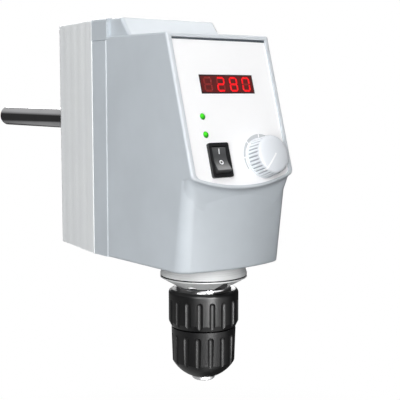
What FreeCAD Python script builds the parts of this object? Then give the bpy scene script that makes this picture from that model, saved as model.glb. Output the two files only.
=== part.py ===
import FreeCAD, Part
import math
import os
import types

import Sketcher
from FreeCAD import Placement, Rotation, Vector

# Overhead laboratory stirrer head with a keyless chuck, in millimetres.
# The origin is the centre of the chuck's mouth, on the spindle axis. +Z is up, -Y is the front with the
# sloping control panel, and +Y is the rear with the support rod.

SIZES = {
    # Casing
    "body_width": 83.0,
    "housing_bottom": 79.5,
    "full_height": 160.0,
    "hump_rise": 12.0,
    "cap_height": 14.0,
    "seam_y": 51.6,
    "frame_depth": 18.8,
    "cover_depth": 65.1,
    "cover_rear_width": 61.2,
    "shell_wall": 3.0,
    "edge_round": 1.6,
    "rear_round": 5.0,
    "seam_bevel": 1.5,
    "seam_edge": 0.6,
    "flute_width": 12.4,
    "flute_land": 1.2,
    "flute_depth": 0.12,
    "flute_start": 8.3,
    "cover_flutes": 4,
    "frame_wall": 4.0,
    "frame_web": 4.8,
    "web_setback": 7.0,
    "cable_hole": 8.0,
    # Top cap with its hump
    "hump_width": 77.0,
    "hump_top_run": 13.5,
    "hump_foot_run": 23.5,
    "cap_wall": 2.5,
    "hump_round": 2.2,
    # Sloping panel frame, with lengths measured down the slope
    "panel_front_y": 15.8,
    "panel_tilt": 16.5,
    "frame_side": 92.3,
    "frame_bulge": 7.9,
    "frame_corner": 4.0,
    "rim_top": 2.9,
    "rim_side": 3.5,
    "rim_bottom": 2.4,
    "panel_bulge": 6.1,
    "panel_corner": 4.5,
    "rim_height": 1.0,
    "panel_thick": 2.0,
    "panel_play": 0.15,
    "ledge_width": 3.0,
    "ledge_thick": 2.0,
    "lip_depth": 26.0,
    "cove_start": 0.5,
    "cove_radius": 5.6,
    "cove_inset": 0.4,
    "cove_lead": 12.0,
    "cove_turn": 66.0,
    "cove_run": 5.4,
    "cove_dive": 63.0,
    # Chin below the lip
    "chin_top_front": 40.6,
    "chin_bottom_front": 36.8,
    "chin_top_bulge_radius": 240.0,
    "chin_bottom_bulge_radius": 115.0,
    "chin_top_corner": 7.0,
    "chin_bottom_corner": 10.0,
    "cavity_lap": 2.0,
    "nose_hole_radius": 23.0,
    # Panel pieces, placed by their centre across and down the slope
    "display_width": 43.0,
    "display_height": 12.1,
    "display_drop": 32.7,
    "window_thick": 1.4,
    "module_margin": 1.2,
    "led_inset": 13.9,
    "led_drop": 53.3,
    "led_spacing": 11.5,
    "led_radius": 2.1,
    "led_rise": 0.4,
    "led_play": 0.1,
    "led_flange": 0.5,
    "led_flange_thick": 1.0,
    "control_drop": 81.4,
    "switch_inset": 20.4,
    "switch_width": 15.7,
    "switch_height": 21.7,
    "bezel_thick": 2.0,
    "switch_wall": 1.5,
    "switch_frame": 2.2,
    "switch_depth": 10.8,
    "rocker_play": 0.35,
    "rocker_pivot_depth": 0.5,
    "rocker_crest": 3.2,
    "rocker_dish": 1.7,
    "rocker_tilt": 10.0,
    "rocker_sole": 4.5,
    "rocker_well": 8.0,
    "rocker_pin_radius": 1.0,
    "pin_play": 0.05,
    "knob_inset": 20.9,
    "knob_base_radius": 13.3,
    "knob_side_radius": 12.9,
    "knob_face_radius": 12.4,
    "knob_round": 1.8,
    "knob_well_radius": 7.5,
    "knob_lift": 0.6,
    "knob_skirt": 1.4,
    "knob_height": 12.2,
    "knob_groove_width": 1.2,
    "knob_groove_depth": 0.9,
    "knob_ribs": 32,
    "cap_radius": 10.4,
    "cap_thick": 0.8,
    "pointer_width": 1.2,
    "pointer_thick": 0.3,
    "pointer_reach": 10.1,
    "pointer_tail": 3.4,
    "pointer_angle": 227.0,
    "pot_radius": 8.0,
    "pot_depth": 8.5,
    "bushing_radius": 3.5,
    "bushing_rise": 4.2,
    "pot_nut_radius": 5.5,
    "pot_nut_thick": 2.2,
    "pot_shaft_radius": 3.0,
    "pot_shaft_play": 0.06,
    "pot_shaft_reach": 8.5,
    "pot_shaft_root": 3.0,
    "board_thick": 1.6,
    "board_setback": 11.0,
    "board_margin": 4.0,
    "board_top_drop": 16.0,
    "board_height": 53.0,
    "pillar_radius": 2.5,
    "pillar_inset": 4.0,
    # Rear: inlet, rod and power board
    "rod_height": 91.0,
    "rod_radius": 8.0,
    "rod_root_radius": 6.0,
    "rod_reach": 145.0,
    "rod_chamfer": 1.0,
    "rod_play": 0.05,
    "rod_socket": 16.0,
    "rod_boss_radius": 14.0,
    "rod_boss_length": 14.0,
    "rod_hole_play": 0.4,
    "collar_radius": 14.0,
    "collar_length": 9.0,
    "inlet_drop": 32.5,
    "inlet_flange_width": 31.0,
    "inlet_flange_height": 24.5,
    "inlet_flange_thick": 2.5,
    "inlet_body_width": 28.0,
    "inlet_body_height": 20.4,
    "inlet_body_depth": 19.0,
    "inlet_play": 0.2,
    "inlet_mouth_width": 24.2,
    "inlet_mouth_height": 16.4,
    "inlet_mouth_bevel": 4.6,
    "inlet_mouth_depth": 16.5,
    "inlet_pin_width": 2.0,
    "inlet_pin_height": 4.0,
    "inlet_pin_length": 11.6,
    "inlet_pin_spacing": 7.0,
    "inlet_pin_offset": 2.0,
    "power_board_width": 50.0,
    "power_board_height": 46.0,
    "power_board_rise": 26.0,
    "power_board_gap": 12.0,
    "transformer_width": 26.0,
    "transformer_height": 30.0,
    "transformer_depth": 24.0,
    "capacitor_radius": 6.3,
    "capacitor_length": 21.0,
    "capacitor_spacing": 16.0,
    "part_round": 1.2,
    # Screws of the casing
    "screw_radius": 2.0,
    "screw_head_radius": 3.6,
    "screw_head_thick": 2.6,
    "screw_socket": 1.7,
    "screw_socket_depth": 1.5,
    "screw_play": 0.05,
    "head_play": 0.4,
    "case_screw_edge": 7.6,
    "case_screw_inset": 9.0,
    "frame_screw_edge": 8.5,
    "frame_screw_inset": 10.0,
    "frame_screw_grip": 9.0,
    "boss_radius": 6.0,
    "boss_length": 22.0,
    # Motor and its carrier
    "carrier_thick": 6.0,
    "carrier_width": 50.0,
    "carrier_radius": 31.0,
    "carrier_height": 50.0,
    "carrier_rib": 5.0,
    "carrier_rib_run": 17.0,
    "carrier_bore": 14.0,
    "motor_radius": 30.0,
    "can_wall": 2.5,
    "motor_length": 37.5,
    "end_cap_thick": 4.0,
    "hub_radius": 19.5,
    "hub_roof": 2.0,
    "stator_bore": 17.0,
    "stator_length": 22.0,
    "stator_lift": 7.5,
    "tooth_width": 6.0,
    "yoke_thick": 3.5,
    "winding_overhang": 4.0,
    "winding_play": 0.3,
    "winding_inset": 1.6,
    "teeth": 9,
    "air_gap": 0.7,
    "magnet_thick": 3.2,
    "magnet_gap": 0.8,
    "magnets": 8,
    # Spindle and bearings
    "spindle_radius": 7.5,
    "shoulder_radius": 9.0,
    "spindle_foot_radius": 6.0,
    "spindle_taper_radius": 6.9,
    "spindle_foot": 46.5,
    "spindle_crown": 1.5,
    "rotor_seat": 5.5,
    "bearing_radius": 16.0,
    "bearing_width": 9.0,
    "ring_thick": 2.6,
    "ball_radius": 2.5,
    "ball_play": 0.3,
    "balls": 7,
    # Nose under the housing
    "nose_rim_radius": 28.75,
    "nose_top_radius": 26.4,
    "nose_drop": 8.2,
    "nose_edge": 1.0,
    "spigot_radius": 22.7,
    "bearing_roof": 1.7,
    "roof_bore": 13.0,
    "gasket_thick": 0.9,
    "gasket_inset": 0.35,
    "cone_spigot_radius": 24.0,
    "cone_spigot_play": 0.1,
    "cone_edge": 0.7,
    "cone_foot_radius": 18.2,
    "cone_foot": 63.7,
    "seal_radius": 12.0,
    "seal_thick": 3.0,
    "seal_play": 0.4,
    "slot_width": 10.0,
    "slot_top": 68.9,
    "slot_depth": 9.4,
    "nose_screw_circle": 19.4,
    "nose_screw_radius": 1.6,
    "nose_screw_head": 2.7,
    "nose_screw_head_thick": 2.0,
    "nose_screw_seat": 4.5,
    "nose_screw_grip": 5.0,
    # Keyless chuck, with heights measured up from the mouth
    "bore_radius": 5.25,
    "bore_depth": 42.0,
    "tip_radius": 7.5,
    "tip_height": 3.0,
    "tip_chamfer": 0.8,
    "core_radius": 15.5,
    "core_start": 13.5,
    "nut_groove_radius": 12.6,
    "nut_bottom": 25.3,
    "nut_height": 6.9,
    "nut_play": 0.3,
    "nut_radius": 18.9,
    "nut_split": 0.4,
    "waist_radius": 16.5,
    "head_start": 37.0,
    "head_radius": 18.45,
    "chuck_gap": 0.8,
    "lower_mouth_radius": 9.0,
    "lower_mouth_height": 2.8,
    "lower_cone_top": 13.1,
    "lower_cone_radius": 20.7,
    "lower_cone_swell": 1.3,
    "lower_top_radius": 21.45,
    "lower_top": 35.8,
    "lower_play": 0.4,
    "sleeve_gap": 1.0,
    "upper_radius": 23.25,
    "upper_foot_radius": 21.6,
    "upper_bevel": 3.4,
    "upper_top": 61.4,
    "upper_round": 2.6,
    "groove_radius": 2.4,
    "groove_depth": 1.1,
    "lower_flutes": 16,
    "lower_flute_turn": -2.6,
    "lower_groove_bottom": 10.0,
    "lower_groove_top": 32.6,
    "upper_flutes": 18,
    "upper_flute_turn": 6.2,
    "upper_groove_bottom": 35.0,
    "upper_groove_top": 56.2,
    "jaws": 3,
    "jaw_radius": 3.0,
    "jaw_play": 0.06,
    "jaw_angle": 20.0,
    "jaw_apex": 1.1,
    "jaw_length": 24.0,
    "jaw_tip": 0.6,
    "jaw_open": 5.4,
    "jaw_closed": 0.45,
    "jaw_gap": 0.2,
    "jaw_flank": 15.0,
    "jaw_hole_top": 38.9,
}


class Dim:
    """A number together with the sheet formula that gives it."""

    def __init__(self, value, formula):
        self.value = value
        self.formula = formula

    @staticmethod
    def of(other):
        return other if isinstance(other, Dim) else Dim(float(other), str(other))

    def __add__(self, other):
        other = Dim.of(other)
        return Dim(self.value + other.value, f"({self.formula} + {other.formula})")

    def __sub__(self, other):
        other = Dim.of(other)
        return Dim(self.value - other.value, f"({self.formula} - {other.formula})")

    def __mul__(self, other):
        other = Dim.of(other)
        return Dim(self.value * other.value, f"({self.formula} * {other.formula})")

    def __truediv__(self, other):
        other = Dim.of(other)
        return Dim(self.value / other.value, f"({self.formula} / {other.formula})")

    def __neg__(self):
        return Dim(-self.value, f"(-{self.formula})")


def tangent(angle):
    return Dim(math.tan(math.radians(angle.value)), f"tan({angle.formula} * 1 deg)")


def sine(angle):
    return Dim(math.sin(math.radians(angle.value)), f"sin({angle.formula} * 1 deg)")


def cosine(angle):
    return Dim(math.cos(math.radians(angle.value)), f"cos({angle.formula} * 1 deg)")


class Via:
    """The middle point of an arc between the two corners beside it in an outline."""

    def __init__(self, x, y):
        self.x = x
        self.y = y


doc = FreeCAD.newDocument("overhead_stirrer")
sheet = doc.addObject("Spreadsheet::Sheet", "Sizes")
for row, (alias, size) in enumerate(SIZES.items(), 1):
    sheet.set(f"A{row}", alias)
    sheet.set(f"B{row}", str(size))
    sheet.setAlias(f"B{row}", alias)
doc.recompute()

S = types.SimpleNamespace(**{alias: Dim(size, f"Sizes.{alias}") for alias, size in SIZES.items()})
ZERO = Dim(0.0, "0")
NODES = []


# Sketch and feature helpers

def number(length):
    return length.value if isinstance(length, Dim) else float(length)


def bind(target, name, length):
    """Ties a property to its formula in the sheet."""
    if isinstance(length, Dim):
        target.setExpression(name, length.formula)
    else:
        setattr(target, name, length)


def new_body(label, node=True):
    body = doc.addObject("PartDesign::Body", label)
    if node:
        NODES.append(body)
    return body


def new_sketch(body, role, offset=None):
    """A sketch on one of the body's own origin planes, moved by a Placement where one is given."""
    sketch = body.newObject("Sketcher::SketchObject", f"{body.Name}_sketch")
    plane = next(item for item in body.Origin.OriginFeatures if item.Role == role)
    sketch.AttachmentSupport = [(plane, "")]
    sketch.MapMode = "FlatFace"
    if isinstance(offset, Placement):
        sketch.AttachmentOffset = offset
    elif offset is not None:
        sketch.setExpression("AttachmentOffset.Base.z", Dim.of(offset).formula)
    return sketch


def fix_point(sketch, geometry, place, x, y):
    """Holds a point at its two coordinates, each bound to the sheet unless it is zero."""
    for kind, axis, length in (("DistanceX", -2, x), ("DistanceY", -1, y)):
        if not isinstance(length, Dim):
            sketch.addConstraint(Sketcher.Constraint("PointOnObject", geometry, place, axis))
            continue
        index = sketch.addConstraint(Sketcher.Constraint(kind, -1, 1, geometry, place, length.value))
        sketch.setExpression(f"Constraints[{index}]", length.formula)


def outline(sketch, points):
    """Draws one closed chain of lines, with an arc wherever a Via stands between two corners."""
    corners = [point for point in points if not isinstance(point, Via)]
    vias = {}
    count = -1
    for point in points:
        if isinstance(point, Via):
            vias[count] = point
        else:
            count += 1
    spots = [Vector(number(x), number(y), 0) for x, y in corners]
    ends = []
    for index, start in enumerate(spots):
        stop = spots[(index + 1) % len(spots)]
        if index not in vias:
            ends.append((sketch.addGeometry(Part.LineSegment(start, stop)), 1, 2))
            continue
        middle = Vector(number(vias[index].x), number(vias[index].y), 0)
        turn = (middle - start).cross(stop - middle).z
        chain = (start, middle, stop) if turn > 0 else (stop, middle, start)
        arc = sketch.addGeometry(Part.Arc(*chain))
        ends.append((arc, 1, 2) if turn > 0 else (arc, 2, 1))
        spot = sketch.addGeometry(Part.Point(middle), True)
        fix_point(sketch, spot, 1, vias[index].x, vias[index].y)
        sketch.addConstraint(Sketcher.Constraint("PointOnObject", spot, 1, arc))
    for index, (geometry, first, last) in enumerate(ends):
        following, next_first, _ = ends[(index + 1) % len(ends)]
        sketch.addConstraint(Sketcher.Constraint("Coincident", geometry, last, following, next_first))
        fix_point(sketch, geometry, first, *corners[index])
    return sketch


def circle(sketch, x, y, radius):
    spot = Vector(number(x), number(y), 0)
    geometry = sketch.addGeometry(Part.Circle(spot, Vector(0, 0, 1), number(radius)))
    fix_point(sketch, geometry, 3, x, y)
    index = sketch.addConstraint(Sketcher.Constraint("Radius", geometry, number(radius)))
    sketch.setExpression(f"Constraints[{index}]", radius.formula)
    return sketch


def rectangle(sketch, x_low, x_high, y_low, y_high):
    return outline(sketch, [(x_low, y_low), (x_high, y_low), (x_high, y_high), (x_low, y_high)])


def extrude(kind, body, sketch, length, symmetric=False, reverse=False):
    """A Pad or a Pocket of the sketch, checked to have changed the body's volume."""
    before = body.Shape.Volume if body.Tip else 0.0
    feature = body.newObject(f"PartDesign::{kind}", f"{body.Name}_{kind.lower()}")
    feature.Profile = sketch
    if symmetric:
        feature.SideType = "Symmetric"
    feature.Reversed = reverse
    bind(feature, "Length", length)
    doc.recompute()
    if abs(body.Shape.Volume - before) < 1e-6:
        raise RuntimeError(f"{feature.Name} of {body.Label} changes nothing")
    return feature


def revolve(body, profile):
    """Turns a profile of (radius, height) points about the body's Z axis."""
    sketch = outline(new_sketch(body, "XZ_Plane"), profile)
    feature = body.newObject("PartDesign::Revolution", f"{body.Name}_revolution")
    feature.Profile = sketch
    feature.ReferenceAxis = (sketch, ["V_Axis"])
    feature.Angle = 360
    doc.recompute()
    return feature


def turned(label, profile, node=True):
    body = new_body(label, node)
    revolve(body, profile)
    return body


def tube(label, inner, outer, low, high, node=True):
    return turned(label, [(inner, low), (outer, low), (outer, high), (inner, high)], node)


def polar(body, feature, count):
    """Repeats a feature round the body's Z axis."""
    pattern = body.newObject("PartDesign::PolarPattern", f"{body.Name}_polar")
    pattern.Originals = [feature]
    axis = next(item for item in body.Origin.OriginFeatures if item.Role == "Z_Axis")
    pattern.Axis = (axis, [""])
    pattern.Angle = 360
    pattern.Occurrences = int(count.value)
    body.Tip = pattern
    doc.recompute()
    return pattern


def soften(kind, body, size, test):
    """A Fillet or a Chamfer on those edges of the body that pass the test."""
    names = [f"Edge{i}" for i, edge in enumerate(body.Shape.Edges, 1) if test(edge)]
    base = body.Tip
    feature = body.newObject(f"PartDesign::{kind}", f"{body.Name}_{kind.lower()}")
    feature.Base = (base, names)
    bind(feature, "Radius" if kind == "Fillet" else "Size", size)
    doc.recompute()
    if feature.isValid() is False or not names:
        raise RuntimeError(f"{feature.Name} of {body.Label} failed on {len(names)} edges")
    return feature


def near(a, b):
    return abs(a - number(b)) < 0.01


def along(edge, direction):
    """True for a straight edge that runs in the direction."""
    if edge.Curve.TypeId != "Part::GeomLine":
        return False
    return abs(abs(edge.Curve.Direction.dot(direction)) - 1) < 1e-6


def group(label, blank, placements):
    """Copies of one finished blank, kept apart as separate solids of one node."""
    item = doc.addObject("Part::Feature", label)
    solids = []
    for place in placements:
        solid = blank.Shape.copy()
        solid.Placement = place.multiply(solid.Placement)
        solids.append(solid)
    item.Shape = Part.makeCompound(solids)
    NODES.append(item)
    return item


# Shared places

half_width = S.body_width / 2
case_top = S.housing_bottom + S.full_height
front_top = case_top - S.hump_rise
frame_top = case_top - S.cap_height
cover_seam = S.seam_y + S.frame_depth
rear_face = cover_seam + S.cover_depth
web_front = S.seam_y + S.web_setback
web_rear = web_front + S.frame_web
slope_sin = sine(S.panel_tilt)
slope_cos = cosine(S.panel_tilt)
slope_tan = tangent(S.panel_tilt)
corner_y = -S.panel_front_y - S.frame_side * slope_sin
corner_z = front_top - S.frame_side * slope_cos
panel_half = half_width - S.rim_side
panel_foot = S.frame_side + S.frame_bulge - S.rim_bottom
panel_side = panel_foot - S.panel_bulge
panel_back = S.rim_height + S.panel_thick
led_across = panel_half - S.led_inset
switch_across = panel_half - S.switch_inset
knob_across = panel_half - S.knob_inset
board_width = (panel_half - S.board_margin) * 2
rod_z = S.housing_bottom + S.rod_height
frame_screw_across = half_width - S.frame_screw_edge
case_screw_across = S.cover_rear_width / 2 - S.case_screw_edge
frame_screw_heights = (S.housing_bottom + S.frame_screw_inset, front_top - S.frame_screw_inset)
case_screw_heights = (S.housing_bottom + S.case_screw_inset, frame_top - S.case_screw_inset)
inlet_z = S.housing_bottom + S.inlet_drop
pin_span = S.switch_width - S.switch_frame * 2 + S.switch_wall / 2
floor_top = S.housing_bottom + S.shell_wall
shelf_top = floor_top + S.carrier_thick
can_top = shelf_top + S.motor_length
low_bearing = floor_top - S.bearing_roof - S.bearing_width
high_bearing = can_top
nose_low = S.housing_bottom - S.nose_drop
cone_high = nose_low - S.gasket_thick
chuck_top = S.cone_foot - S.chuck_gap
rotor_radius = S.stator_bore - S.air_gap
rotor_low = shelf_top + S.stator_lift
jaw_sin = sine(S.jaw_angle)
jaw_cos = cosine(S.jaw_angle)
jaw_tan = tangent(S.jaw_angle)
jaw_travel = (S.jaw_open - S.jaw_closed) / jaw_sin


def on_panel(across, drop, lift, spin=0.0):
    """Placement on the sloping panel: across to the right, drop down the slope, lift out of the rim plane."""
    lean = Rotation(Vector(1, 0, 0), 90 - S.panel_tilt.value)
    top = Vector(0, -S.panel_front_y.value, front_top.value)
    base = top + lean.multVec(Vector(number(across), -number(drop), number(lift)))
    return Placement(base, lean.multiply(Rotation(Vector(0, 0, 1), spin)))


def facing_rear(x, y, z):
    """Placement whose own Z axis points to the rear and whose own X axis points to the left."""
    return Placement(Vector(number(x), number(y), number(z)), Rotation(Vector(0, 1, 1), 180))


# Casing

def bowed(sketch, half, front, bow, corner, back=0):
    """An outline with straight sides, two round corners and a front edge that bows outwards.

    The front lies on the sketch's negative Y side, bow is the radius of the front edge.
    """
    w, r, big, top = half.value, corner.value, bow.value, number(back)
    centre = Vector(0, big - front.value, 0)
    pin_x = w - r
    pin_y = centre.y - math.sqrt((big - r) ** 2 - pin_x ** 2)
    lean = math.atan2(pin_y - centre.y, pin_x)
    up = Vector(0, 0, 1)
    right = Part.ArcOfCircle(Part.Circle(Vector(pin_x, pin_y, 0), up, r), lean, 0)
    left = Part.ArcOfCircle(Part.Circle(Vector(-pin_x, pin_y, 0), up, r), math.pi, math.pi - lean)
    bow_arc = Part.ArcOfCircle(Part.Circle(centre, up, big), math.pi - lean, lean)
    back_line = sketch.addGeometry(Part.LineSegment(Vector(w, top, 0), Vector(-w, top, 0)))
    left_side = sketch.addGeometry(Part.LineSegment(Vector(-w, top, 0), Vector(-w, pin_y, 0)))
    left_arc = sketch.addGeometry(left)
    front_arc = sketch.addGeometry(bow_arc)
    right_arc = sketch.addGeometry(right)
    right_side = sketch.addGeometry(Part.LineSegment(Vector(w, pin_y, 0), Vector(w, top, 0)))
    fix_point(sketch, back_line, 1, half, back)
    fix_point(sketch, back_line, 2, -half, back)
    sketch.addConstraint([
        Sketcher.Constraint("Coincident", back_line, 2, left_side, 1),
        Sketcher.Constraint("Coincident", right_side, 2, back_line, 1),
        Sketcher.Constraint("Vertical", left_side),
        Sketcher.Constraint("Vertical", right_side),
        Sketcher.Constraint("Tangent", left_side, 2, left_arc, 1),
        Sketcher.Constraint("Tangent", left_arc, 2, front_arc, 1),
        Sketcher.Constraint("Tangent", front_arc, 2, right_arc, 1),
        Sketcher.Constraint("Tangent", right_arc, 2, right_side, 1),
        Sketcher.Constraint("Equal", left_arc, right_arc),
    ])
    fix_point(sketch, front_arc, 3, 0, bow - front)
    for arc, radius in ((right_arc, corner), (front_arc, bow)):
        index = sketch.addConstraint(Sketcher.Constraint("Radius", arc, radius.value))
        sketch.setExpression(f"Constraints[{index}]", radius.formula)
    return sketch


def panel_outline(body, place, grow):
    """The white panel's outline on the sloping plane, grown or shrunk all round."""
    half = panel_half + grow
    bow = (panel_half * panel_half + S.panel_bulge * S.panel_bulge) / (S.panel_bulge * 2)
    return bowed(new_sketch(body, "XY_Plane", place), half, panel_foot + grow, bow + grow,
                 S.panel_corner + grow, grow - S.rim_top)


def loft(kind, body, sections, ruled=True):
    feature = body.newObject(f"PartDesign::{kind}", f"{body.Name}_loft")
    feature.Profile = sections[0]
    feature.Sections = sections[1:]
    feature.Ruled = ruled
    doc.recompute()
    return feature


def cove(body, bow):
    """Hollow sweep that fills the inner corner between the lip's underside and the chin.

    Its sections lie parallel to the panel and grow downwards with their depth behind the rim.
    """
    lead = cosine(S.cove_lead)
    steps = [(S.cove_radius * sine(S.cove_turn * share), S.cove_radius * (lead - cosine(S.cove_turn * share)))
             for share in (Dim.of(part) / 5 for part in range(6))]
    depth, growth = steps[-1]
    steps += [(depth + run, growth + run * tangent(S.cove_dive))
              for run in (S.cove_run * part / 3 for part in (1, 2, 3))]
    sections = []
    for depth, growth in steps:
        place = on_panel(0, 0, -S.cove_start - depth)
        sections.append(bowed(new_sketch(body, "XY_Plane", place), half_width - S.cove_inset,
                              S.frame_side + S.frame_bulge + growth, bow + growth,
                              S.frame_corner + growth - steps[0][1], -S.frame_side / 2))
    return loft("AdditiveLoft", body, sections, ruled=False)


def is_outer_rim(edge):
    """The edges all round the panel frame and along the housing's top."""
    back = on_panel(0, 0, 0).inverse()
    if all(near(back.multVec(vertex.Point).z, 0) for vertex in edge.Vertexes):
        return True
    return near(edge.BoundBox.ZMin, front_top) and edge.BoundBox.YLength > 1


def is_floor_edge(edge):
    return near(edge.BoundBox.ZMax, S.housing_bottom) and edge.BoundBox.YMin < S.seam_y.value - 1


def front_housing():
    """Moulded front shell: sloping panel frame with a bulging lip, and a chin that draws in below it."""
    body = new_body("front_housing")
    side = S.frame_side - S.frame_corner * 2
    block = outline(new_sketch(body, "YZ_Plane"), [
        (S.seam_y, S.housing_bottom), (S.seam_y, front_top), (-S.panel_front_y, front_top),
        (-S.panel_front_y - side * slope_sin, front_top - side * slope_cos),
        (corner_y + S.lip_depth * slope_cos, corner_z - S.lip_depth * slope_sin),
        (corner_y + S.lip_depth * slope_cos, S.housing_bottom)])
    extrude("Pad", body, block, S.body_width, symmetric=True)
    bow = (half_width * half_width + S.frame_bulge * S.frame_bulge) / (S.frame_bulge * 2)
    lip = bowed(new_sketch(body, "XY_Plane", on_panel(0, 0, 0)), half_width, S.frame_side + S.frame_bulge,
                bow, S.frame_corner)
    extrude("Pad", body, lip, S.lip_depth, reverse=True)
    loft("AdditiveLoft", body, [
        bowed(new_sketch(body, "XY_Plane", S.housing_bottom), half_width, S.chin_bottom_front,
              S.chin_bottom_bulge_radius, S.chin_bottom_corner),
        bowed(new_sketch(body, "XY_Plane", corner_z), half_width, S.chin_top_front,
              S.chin_top_bulge_radius, S.chin_top_corner)])
    cove(body, bow)
    soften("Fillet", body, S.edge_round, is_outer_rim)
    soften("Fillet", body, S.edge_round, is_floor_edge)
    back = panel_back + S.ledge_thick
    recess = panel_outline(body, on_panel(0, 0, 0), S.panel_play)
    extrude("Pocket", body, recess, panel_back)
    window = panel_outline(body, on_panel(0, 0, 0), -S.ledge_width)
    extrude("Pocket", body, window, back + S.ledge_width)
    low = S.housing_bottom + S.shell_wall
    rear = S.seam_y + S.cavity_lap
    hollow = outline(new_sketch(body, "YZ_Plane"), [
        (rear, low), (rear, front_top - S.shell_wall),
        (back / slope_cos - S.shell_wall * slope_tan - S.panel_front_y, front_top - S.shell_wall),
        (corner_y + back / slope_cos, corner_z), (-S.cavity_lap, corner_z), (-S.cavity_lap, low)])
    extrude("Pocket", body, hollow, S.body_width - S.shell_wall * 2, symmetric=True)
    inner = half_width - S.shell_wall
    loft("SubtractiveLoft", body, [
        bowed(new_sketch(body, "XY_Plane", low), inner, S.chin_bottom_front - S.shell_wall,
              S.chin_bottom_bulge_radius - S.shell_wall, S.chin_bottom_corner - S.shell_wall),
        bowed(new_sketch(body, "XY_Plane", corner_z + S.cavity_lap), inner,
              S.chin_top_front - S.shell_wall - S.cavity_lap,
              S.chin_top_bulge_radius - S.shell_wall, S.chin_top_corner - S.shell_wall)])
    hole = circle(new_sketch(body, "XY_Plane", S.housing_bottom), 0, 0, S.nose_hole_radius)
    extrude("Pocket", body, hole, S.shell_wall * 2, reverse=True)
    bosses = new_sketch(body, "XZ_Plane", -S.seam_y)
    holes = new_sketch(body, "XZ_Plane", -S.seam_y)
    for side in (-1, 1):
        for height in frame_screw_heights:
            circle(bosses, frame_screw_across * side, height, S.boss_radius)
            circle(holes, frame_screw_across * side, height, S.screw_radius)
    extrude("Pad", body, bosses, S.boss_length)
    extrude("Pocket", body, holes, S.frame_screw_grip + S.cavity_lap, reverse=True)
    return body


def is_frame_seam(edge):
    """The frame's outer edges against the rear cover and under the top cap."""
    box = edge.BoundBox
    at_cover = along(edge, Vector(0, 0, 1)) and near(box.YMin, cover_seam)
    return at_cover or along(edge, Vector(0, 1, 0)) and near(box.ZMin, frame_top)


def mid_frame():
    """Cast frame: a ring with a web, and a boss at the rear that takes the support rod."""
    body = new_body("mid_frame")
    ring = rectangle(new_sketch(body, "XZ_Plane", -cover_seam), -half_width, half_width, S.housing_bottom,
                     frame_top)
    extrude("Pad", body, ring, S.frame_depth)
    soften("Chamfer", body, S.seam_bevel,
           lambda edge: along(edge, Vector(0, 0, 1)) and near(edge.BoundBox.YMin, S.seam_y))
    soften("Chamfer", body, S.seam_edge, is_frame_seam)
    inner = half_width - S.frame_wall
    for plane, depth, reverse in ((-S.seam_y, S.web_setback, False),
                                  (-cover_seam, cover_seam - web_rear, True)):
        hollow = rectangle(new_sketch(body, "XZ_Plane", plane), -inner, inner, floor_top,
                           frame_top - S.frame_wall)
        extrude("Pocket", body, hollow, depth, reverse=reverse)
    boss = circle(new_sketch(body, "XZ_Plane", -web_rear - S.rod_boss_length), 0, rod_z, S.rod_boss_radius)
    extrude("Pad", body, boss, S.rod_boss_length)
    socket = circle(new_sketch(body, "XZ_Plane", -web_rear - S.rod_boss_length), 0, rod_z,
                    S.rod_root_radius + S.rod_play)
    extrude("Pocket", body, socket, S.rod_socket, reverse=True)
    holes = new_sketch(body, "XZ_Plane", -web_rear)
    for side in (-1, 1):
        for height in frame_screw_heights:
            circle(holes, frame_screw_across * side, height, S.screw_radius + S.screw_play)
        for height in case_screw_heights:
            circle(holes, case_screw_across * side, height, S.screw_radius)
    circle(holes, 0, rod_z + S.rod_boss_radius + S.cable_hole * 2, S.cable_hole)
    extrude("Pocket", body, holes, S.frame_web, reverse=True)
    return body


def is_hump_edge(edge):
    """The edges of the hump's top, its front and its two slanted corners."""
    box = edge.BoundBox
    ahead = box.YMin < S.seam_y.value - 1
    return ahead and box.ZMax > front_top.value + 1


def top_cap():
    """Cap over the frame, with the hump that runs forwards over the front housing."""
    body = new_body("top_cap")
    strip = rectangle(new_sketch(body, "YZ_Plane"), S.seam_y, cover_seam, frame_top, case_top)
    extrude("Pad", body, strip, S.body_width, symmetric=True)
    soften("Fillet", body, S.edge_round,
           lambda edge: along(edge, Vector(0, 1, 0)) and near(edge.BoundBox.ZMin, case_top))
    hump = outline(new_sketch(body, "YZ_Plane"), [
        (S.seam_y - S.hump_foot_run, front_top), (S.seam_y + S.cap_wall, front_top),
        (S.seam_y + S.cap_wall, case_top), (S.seam_y - S.hump_top_run, case_top)])
    extrude("Pad", body, hump, S.hump_width, symmetric=True)
    soften("Fillet", body, S.hump_round, is_hump_edge)
    inner = half_width - S.cap_wall
    below = rectangle(new_sketch(body, "XY_Plane", frame_top), -inner, inner, S.seam_y + S.cap_wall,
                      cover_seam - S.cap_wall)
    extrude("Pocket", body, below, case_top - frame_top - S.cap_wall, reverse=True)
    hollow = outline(new_sketch(body, "YZ_Plane"), [
        (S.seam_y - S.hump_foot_run + S.cap_wall * 1.6, front_top),
        (S.seam_y + S.cap_wall * 1.5, front_top), (S.seam_y + S.cap_wall * 1.5, case_top - S.cap_wall),
        (S.seam_y - S.hump_top_run + S.cap_wall, case_top - S.cap_wall)])
    extrude("Pocket", body, hollow, S.hump_width - S.cap_wall * 2, symmetric=True)
    return body


def side_x(y):
    """Half the rear cover's width at a place along its depth."""
    return half_width - (half_width - S.cover_rear_width / 2) / S.cover_depth * (y - cover_seam)


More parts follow.
